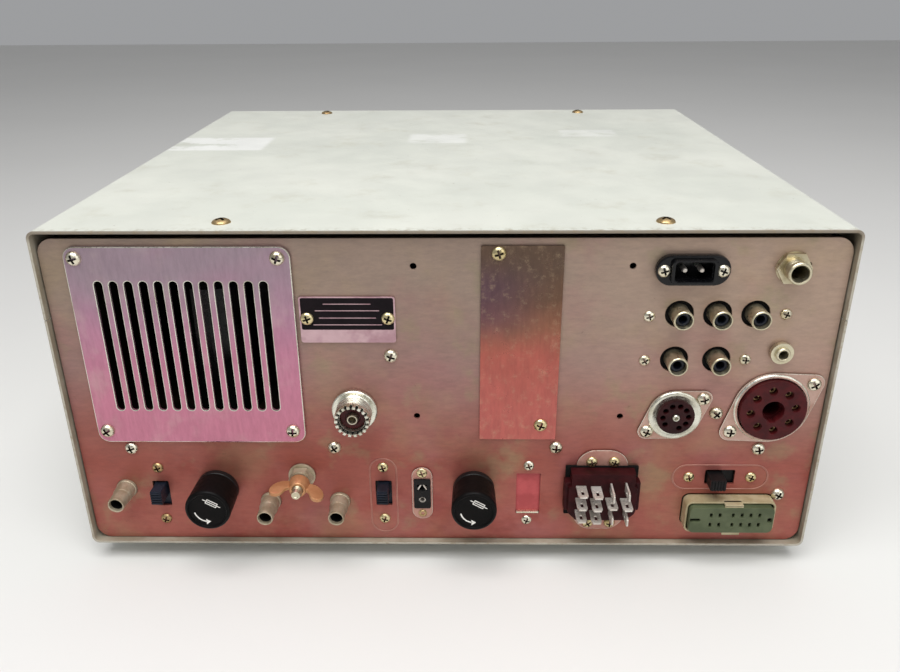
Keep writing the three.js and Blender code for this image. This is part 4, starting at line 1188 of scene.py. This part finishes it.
def front_frame():
    centre = CASE_HEIGHT / 2 - DATUM_RISE
    outline = rectangle(0, centre, CASE_WIDTH - 7.2, CASE_HEIGHT - 7.2, 3)
    opening = rectangle(0, centre, CASE_WIDTH - 11, CASE_HEIGHT - 11, 5)
    frame_piece = Build().prism(outline, -14.7, 4, [opening], edge=0.8)
    piece("front_bezel_casting", frame_piece, FRONT, BEZEL, replaces=["front_bezel"])
    knob_nodes = ("drive_knob", "band_knob", "mode_knob", "rit_knob", "plate_knob", "af_gain_knob")
    meter_x, meter_y = spot(FRONT, "meter")
    holes = [
        rectangle(meter_x, meter_y, 60, 40),
        rectangle(*spot(FRONT, "dial_window"), 92, 36, 1),
        circle(*spot(FRONT, "tuning_knob"), 4.4),
        circle(*MIC_AT, 8.5),
        circle(*PHONES_AT, 4.9),
        *[circle(*spot(FRONT, node), 3.6, 24) for node in knob_nodes],
        *[circle(x, TOGGLE_Y, 3.3, 24) for x in TOGGLES.values()],
    ]
    sheet = Build().prism(
        rectangle(0, centre, CASE_WIDTH - 11.8, CASE_HEIGHT - 11.8, 4.6), -2, 0, holes, edge=0.12
    )
    piece("front_sheet", sheet, FRONT, PANEL_GREY, replaces=["front_panel"])


def dial_window():
    x, y = spot(FRONT, "dial_window")
    trims = Build().prism(rectangle(x, y, 100, 43, 3), 0, 2, [rectangle(x, y, 90, 34, 1.2)], edge=0.5)
    piece("dial_trim", trims, FRONT, BEZEL)
    pane = Build().box(x, y, 91, 35, -1.8, -0.4, 1)
    piece("dial_pane", pane, FRONT, CLEAR, replaces=["dial_window"])
    pointer = Build().box(x, y + 9, 0.5, 16, -2.4, -2.2, edge=0.05)
    piece("dial_pointer", pointer, FRONT, RED_INK)
    # A near-black sheet behind the dial window: painted shade inside the case.
    backdrop = Build().box(x, y, 104, 44, -15.6, -14.8, 2)
    piece("dial_backdrop_shade", backdrop, FRONT, DARK_PARTS_AND_SHADE)


def panel_rules():
    rules = Build()
    for x, y, width, height in ((105, 89.5, 84, 0.5), (105, 46, 84, 0.5), (-112, 52, 72, 0.5)):
        rules.box(x, y, width, height, -0.02, 0.06, edge=0.02)
    for node, radius, start, count in (("band_knob", 19.5, -105, 8), ("mode_knob", 17, -60, 5),
                                       ("drive_knob", 15.5, -90, 11),
                                       ("rit_knob", 13.5, -150, 11), ("plate_knob", 17.5, -90, 11),
                                       ("af_gain_knob", 17.5, -150, 11)):
        x, y = spot(FRONT, node)
        for i in range(count):
            tick = Build().box(0, radius, 0.45, 1.9 if i % 5 == 0 else 1.2, -0.02, 0.06, edge=0.02)
            turn = spin(start * (1 - 2 * i / (count - 1)))
            rules.add(tick, move(x, y) @ turn)
    piece("panel_rules", rules, FRONT, WHITE_INK)


def text(characters, size):
    """Raised figures as a mesh, centred on the origin."""
    curve = bpy.data.curves.new("figures", "FONT")
    curve.body = characters
    curve.size = size
    curve.align_x = "CENTER"
    curve.align_y = "CENTER"
    curve.extrude = 0.05
    source = bpy.data.objects.new("figures", curve)
    bpy.context.scene.collection.objects.link(source)
    mesh = bpy.data.meshes.new_from_object(source.evaluated_get(bpy.context.evaluated_depsgraph_get()))
    bpy.data.objects.remove(source)
    return mesh


def dial():
    place = on(FRONT, "dial_disc")
    disc = [(0, -14), (2.6, -14), (2.6, -6), (33.2, -6), (33.5, -5.7), (33.5, -4.9), (33.2, -4.6), (0, -4.6)]
    piece(
        "dial_plate", Build().lathe(disc, 96), place, DIAL, body="dial_disc",
        replaces=["dial_disc"]
    )
    ink = Build()
    for i in range(100):
        turn = Matrix.Rotation(-2 * math.pi * i / 100, 4, "Z")
        length = 4.4 if i % 10 == 0 else 3.2 if i % 5 == 0 else 2
        ink.add(Build().box(0, 32.6 - length / 2, 0.28, length, -4.62, -4.52, edge=0.01), turn)
        if i % 10 == 0:
            ink.mesh(text(str(i), 4.4), turn @ move(0, 25.4, -4.56))
    piece("dial_figures", ink, place, DARK_PARTS_AND_SHADE, body="dial_disc")


def meter():
    place = on(FRONT, "meter")
    frame_piece = Build().prism(
        rectangle(0, 0, 64, 44, 2), GAP, 3.5, [rectangle(0, 0, 55.6, 35.6, 1)], edge=0.5
    )
    frame_piece.prism(rectangle(0, 0, 59, 39), -28, -1.2, edge=0.3)
    piece("meter_case", frame_piece, place, BLACK, replaces=["meter"])
    scale = Build().box(0, 0, 57, 37, -1, -0.3, 1)
    piece("meter_scale", scale, place, METER_FACE)
    pivot = -13
    ink = Build().prism(
        arc(0, pivot, 25.2, 42, 138, 40) + arc(0, pivot, 24.8, 138, 42, 40), -0.32, -0.22, edge=0.01
    )
    for i in range(21):
        angle = math.radians(-45 + 4.5 * i)
        length = 2.4 if i % 5 == 0 else 1.3
        tick = Build().box(0, 25 + length / 2, 0.3, length, -0.32, -0.22, edge=0.01)
        ink.add(tick, move(0, pivot) @ Matrix.Rotation(-angle, 4, "Z"))
        if i % 5 == 0:
            figures = text(str(i // 5 * 2), 3.2)
            ink.mesh(figures, move(0, pivot, -0.24) @ Matrix.Rotation(-angle, 4, "Z") @ move(0, 21.6))
    piece("meter_marks", ink, place, DARK_PARTS_AND_SHADE)
    lower = Build().prism(rectangle(0, -16.4, 55.6, 3.4), -0.3, 2.4, edge=0.3)
    piece("meter_mask", lower, place, BLACK)
    lens = Build().box(0, 0, 56, 36, 2.5, 3.0, 1)
    piece("meter_lens", lens, place, CLEAR)
    needle = Build().lathe([(0, 0.3), (2.4, 0.3), (2.6, 0.5), (2.6, 1.5), (2.3, 1.8), (0, 1.8)], 32)
    needle.prism([(-0.35, 0), (0.35, 0), (0.12, 24), (-0.12, 24)], 0.85, 1.25, edge=0.05)
    piece(
        "meter_pointer", needle, at(place, 0, pivot, turn=45), RED_INK, "meter_needle",
        ["meter_needle"]
    )


def knob_shape(radius, foot, reach, flutes):
    build = Build().lathe([(0, -12), (3, -12), (3, foot), (radius + 1.7, foot), (radius + 2, foot + 0.3),
                           (radius + 2, foot + 1.6),
                           (radius + 1.4, foot + 2.4), (radius - 0.6, foot + 3), (0, foot + 3)], 64)
    return build.prism(toothed(radius, radius - 0.55, flutes, 0.7), foot + 2.6, reach - 0.2, edge=0.5)


def plain_knobs():
    shapes = [("drive_knob", 11, 1, 18), ("band_knob", 15, 1, 20), ("mode_knob", 12.5, 1, 18),
              ("rit_knob", 9, 1, 16),
              ("plate_knob", 9, 6, 20), ("af_gain_knob", 9, 6, 20)]
    for node, radius, foot, reach in shapes:
        place = on(FRONT, node)
        piece(
            node + "_moulding", knob_shape(radius, foot, reach, int(radius * 2.6)), place, KNOB,
            node, [node]
        )
        cap = Build().lathe([(0, reach - 0.5), (radius * 0.86, reach - 0.5), (radius * 0.86, reach - 0.15),
                             (radius * 0.8, reach),
                             (0, reach - 0.1)], 64)
        piece(node + "_cap", cap, place, KNOB_METAL, node)
        line = Build().box(0, radius * 0.5, 0.8, radius * 0.62, reach - 0.2, reach, edge=0.05)
        line.box(0, radius + 1.0, 0.8, 1.5, foot + 1.4, foot + 2.5, edge=0.05)
        piece(node + "_pointer", line, place, WHITE_INK, node)
    for node, knob_node in (("load_ring", "plate_knob"), ("rf_gain_ring", "af_gain_knob")):
        place = on(FRONT, knob_node)
        ring = Build().prism(toothed(14, 13.5, 40, 0.7), 0.8, 5.2, [circle(0, 0, 4)], edge=0.35)
        ring.prism([(-2, -13), (2, -13), (1.5, -19), (-1.5, -19)], 0.8, 4.4, edge=0.4)
        piece(node + "_moulding", ring, place, KNOB, node, [node])


def tuning():
    place = on(FRONT, "tuning_knob")
    skirt = [
        (0, -16), (3.8, -16), (3.8, 1), (30.6, 1), (31, 1.4), (31, 2.8), (30.4, 3.5), (27, 4.7), (0, 4.7)
    ]
    knob = Build().lathe(skirt, 96).prism(toothed(27, 26.2, 72, 0.7), 4.4, 23.2, edge=0.9)
    dimple = Build().lathe([(0, 20.5), (4.5, 20.5), (6.5, 22.5), (7, 25), (0, 25)], 40, 0, 17)
    piece(
        "tuning_moulding", cut(knob, dimple, "tuning"), place, KNOB, "tuning_knob",
        ["tuning_knob"]
    )
    disc = Build().prism(circle(0, 0, 24.4, 96), 23.0, 23.9, [circle(0, 17, 6.6, 48)], edge=0.25)
    piece("tuning_disc", disc, place, KNOB_METAL, "tuning_knob")
    ticks = Build()
    for i in range(50):
        tick = Build().box(0, 29.4, 0.35, 1.6 if i % 5 else 2.4, 3.2, 3.75, edge=0.03)
        ticks.add(tick, Matrix.Rotation(-2 * math.pi * i / 50, 4, "Z"))
    piece("tuning_marks", ticks, place, WHITE_INK, "tuning_knob")


def toggles():
    bushes = Build()
    for x in TOGGLES.values():
        bushes.prism(circle(x, TOGGLE_Y, 5.6, 6), 0.1, 1.9, [circle(x, TOGGLE_Y, 3.5)], edge=0.25)
        bushes.ring([(3.2, -1), (4.5, -1)] + thread(4.5, 1.9, 3.3, 0.7, 0.2) + [(3.2, 3.5)], 32, x, TOGGLE_Y)
    piece("toggle_bushings", bushes, FRONT, KNOB_METAL)
    lever = [(0, -2.4), (1.8, -1.8), (2.4, -0.6), (2.4, 0.6), (1.7, 1.9), (1.45, 4), (1.9, 8), (2.6, 13),
             (2.65, 14.4), (2.2, 15.8), (1.2, 16.3),
             (0, 16.4)]
    for node, x in TOGGLES.items():
        place = at(FRONT, x, TOGGLE_Y, 1.5) @ spin(12, "X")
        piece(node + "_lever", Build().lathe(lever, 32), place, SILVER, node, [node])


def front_jacks():
    profile = [(7, -12), (7, -3), (7.9, -3), (7.9, 0.4), (9, 0.5), (9, 1.5), (8, 1.6)]
    profile += thread(8, 1.8, 4.4, 0.8, 0.2) + [(7.8, 5), (6.8, 5), (6.6, 4.6), (6.6, 1), (6.4, -10)]
    mic = Build().ring(profile, 56, *MIC_AT)
    piece("mic_shell", mic, FRONT, NICKEL, replaces=["front_jacks"])
    pins = [circle(*polar(3.4, a, *MIC_AT), 0.9, 14) for a in (45, 135, 225, 315)]
    piece(
        "mic_insert", Build().prism(circle(*MIC_AT, 6.5), -3, 2.6, pins, edge=0.2), FRONT, BLACK,
    )
    jack = Build().ring(
        [(3.2, -20), (4.5, -20), (4.5, 2.2), (4.3, 4.2), (3.9, 4.5), (3.4, 4.5), (3.2, 4.1)], 40, *PHONES_AT
    )
    jack.prism(circle(*PHONES_AT, 7, 6), 0.5, 2.6, [circle(*PHONES_AT, 4.4)], edge=0.25)
    jack.ring([(4.4, 0.05), (7.2, 0.05), (7.2, 0.45), (4.4, 0.45)], 40, *PHONES_AT)
    piece("phones_jack", jack, FRONT, NICKEL)
    piece("front_jack_bracket", Build().prism(rectangle(-117, 30, 62, 20, 1), -4.2, -2.6,
                                              [circle(*MIC_AT, 7.2), circle(*PHONES_AT, 4.6)]),
          FRONT, SHADED_CHROMATE)


# ---- Inside ------------------------------------------------------------------


def dress_inside():
    # The chassis and the final tube take near-black finishes: painted shade inside the case.
    finishes = {
        "chassis": SHADED_CHROMATE,
        "power_transformer": IRON,
        "vfo_unit": IRON,
        "final_tube": SHADED_TUBE,
        "loudspeaker": IRON,
        "circuit_board": BOARD,
    }
    for node, material in finishes.items():
        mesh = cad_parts[node].data
        mesh.materials.clear()
        mesh.materials.append(material)


cabinet()
handle()
rear_sheet()
vent()
nameplate()
blanking()
antenna()
panel_jack("key_jack", "key_jack", 3.4, 4.5, 9, 7.4, 6, 4.75, CREAM_NICKEL)
panel_jack("speaker_jack", "speaker_jack", 1.8, 3.0, 4.2, 4.9, 24, 3.05, CREAM_NICKEL)
phono_jacks()
aux_jacks()
mains()
round_sockets()
power_plug()
accessory()
dc_socket()
ground()
fuses()
slide_switches()
front_frame()
dial_window()
panel_rules()
dial()
meter()
plain_knobs()
tuning()
toggles()
front_jacks()
dress_inside()

# ---- Floor, light and camera -------------------------------------------------

CAMERA_BACK = 317.1
CAMERA_UP = 248.5
CAMERA_ASIDE = 8.9
CAMERA_PITCH = 23.86
CAMERA_YAW = 1.066
CAMERA_ROLL = -0.41
LENS = 32.9


def camera():
    data = bpy.data.cameras.new("camera")
    data.lens = LENS
    data.sensor_width = 36
    obj = bpy.data.objects.new("camera", data)
    bpy.context.scene.collection.objects.link(obj)
    obj.location = EDGE_FACE @ Vector((CAMERA_ASIDE, CAMERA_UP, CAMERA_BACK))
    look = spin(180 + CAMERA_YAW)
    tilt = spin(90 - CAMERA_PITCH, "X")
    roll = spin(CAMERA_ROLL)
    obj.matrix_world = Matrix.Translation(obj.location) @ look @ tilt @ roll
    bpy.context.scene.camera = obj


def area_light(name, place, target, size, power):
    """A rectangular light at a place, in metres, that looks at a target."""
    data = bpy.data.lights.new(name, "AREA")
    data.shape = "RECTANGLE"
    data.size, data.size_y = size
    data.energy = power
    obj = bpy.data.objects.new(name, data)
    bpy.context.scene.collection.objects.link(obj)
    obj.location = place
    obj.rotation_euler = (Vector(target) - Vector(place)).to_track_quat("-Z", "Y").to_euler()


def studio():
    floor = Build().box(0, 0, 6000, 6000, -10, 0, edge=0)
    mesh = floor.to_mesh("floor")
    mesh.transform(Matrix.Diagonal((MM, MM, MM, 1)))
    obj = bpy.data.objects.new("floor", mesh)
    paint = Paint("floor_paint", 0.7)
    paint.color(paint.mix(paint.noise(300), srgb(222, 221, 218), srgb(216, 215, 212)))
    mesh.materials.append(paint.material)
    bpy.context.scene.collection.objects.link(obj)
    world = bpy.data.worlds.new("studio")
    world.use_nodes = True
    background = world.node_tree.nodes["Background"]
    background.inputs["Color"].default_value = (0.80, 0.81, 0.83, 1)
    background.inputs["Strength"].default_value = 0.42
    bpy.context.scene.world = world
    area_light("key", (0.1, 0.62, 1.15), (0, 0.16, 0.08), (1.1, 0.7), 15)
    area_light("overhead", (-0.3, -0.1, 1.7), (0, 0, 0.1), (1.4, 1.2), 6)
    area_light("fill", (-1.1, 1.2, 0.7), (0, 0.1, 0.08), (1.2, 1.0), 5)


camera()
studio()
bpy.context.scene.view_settings.view_transform = "Standard"
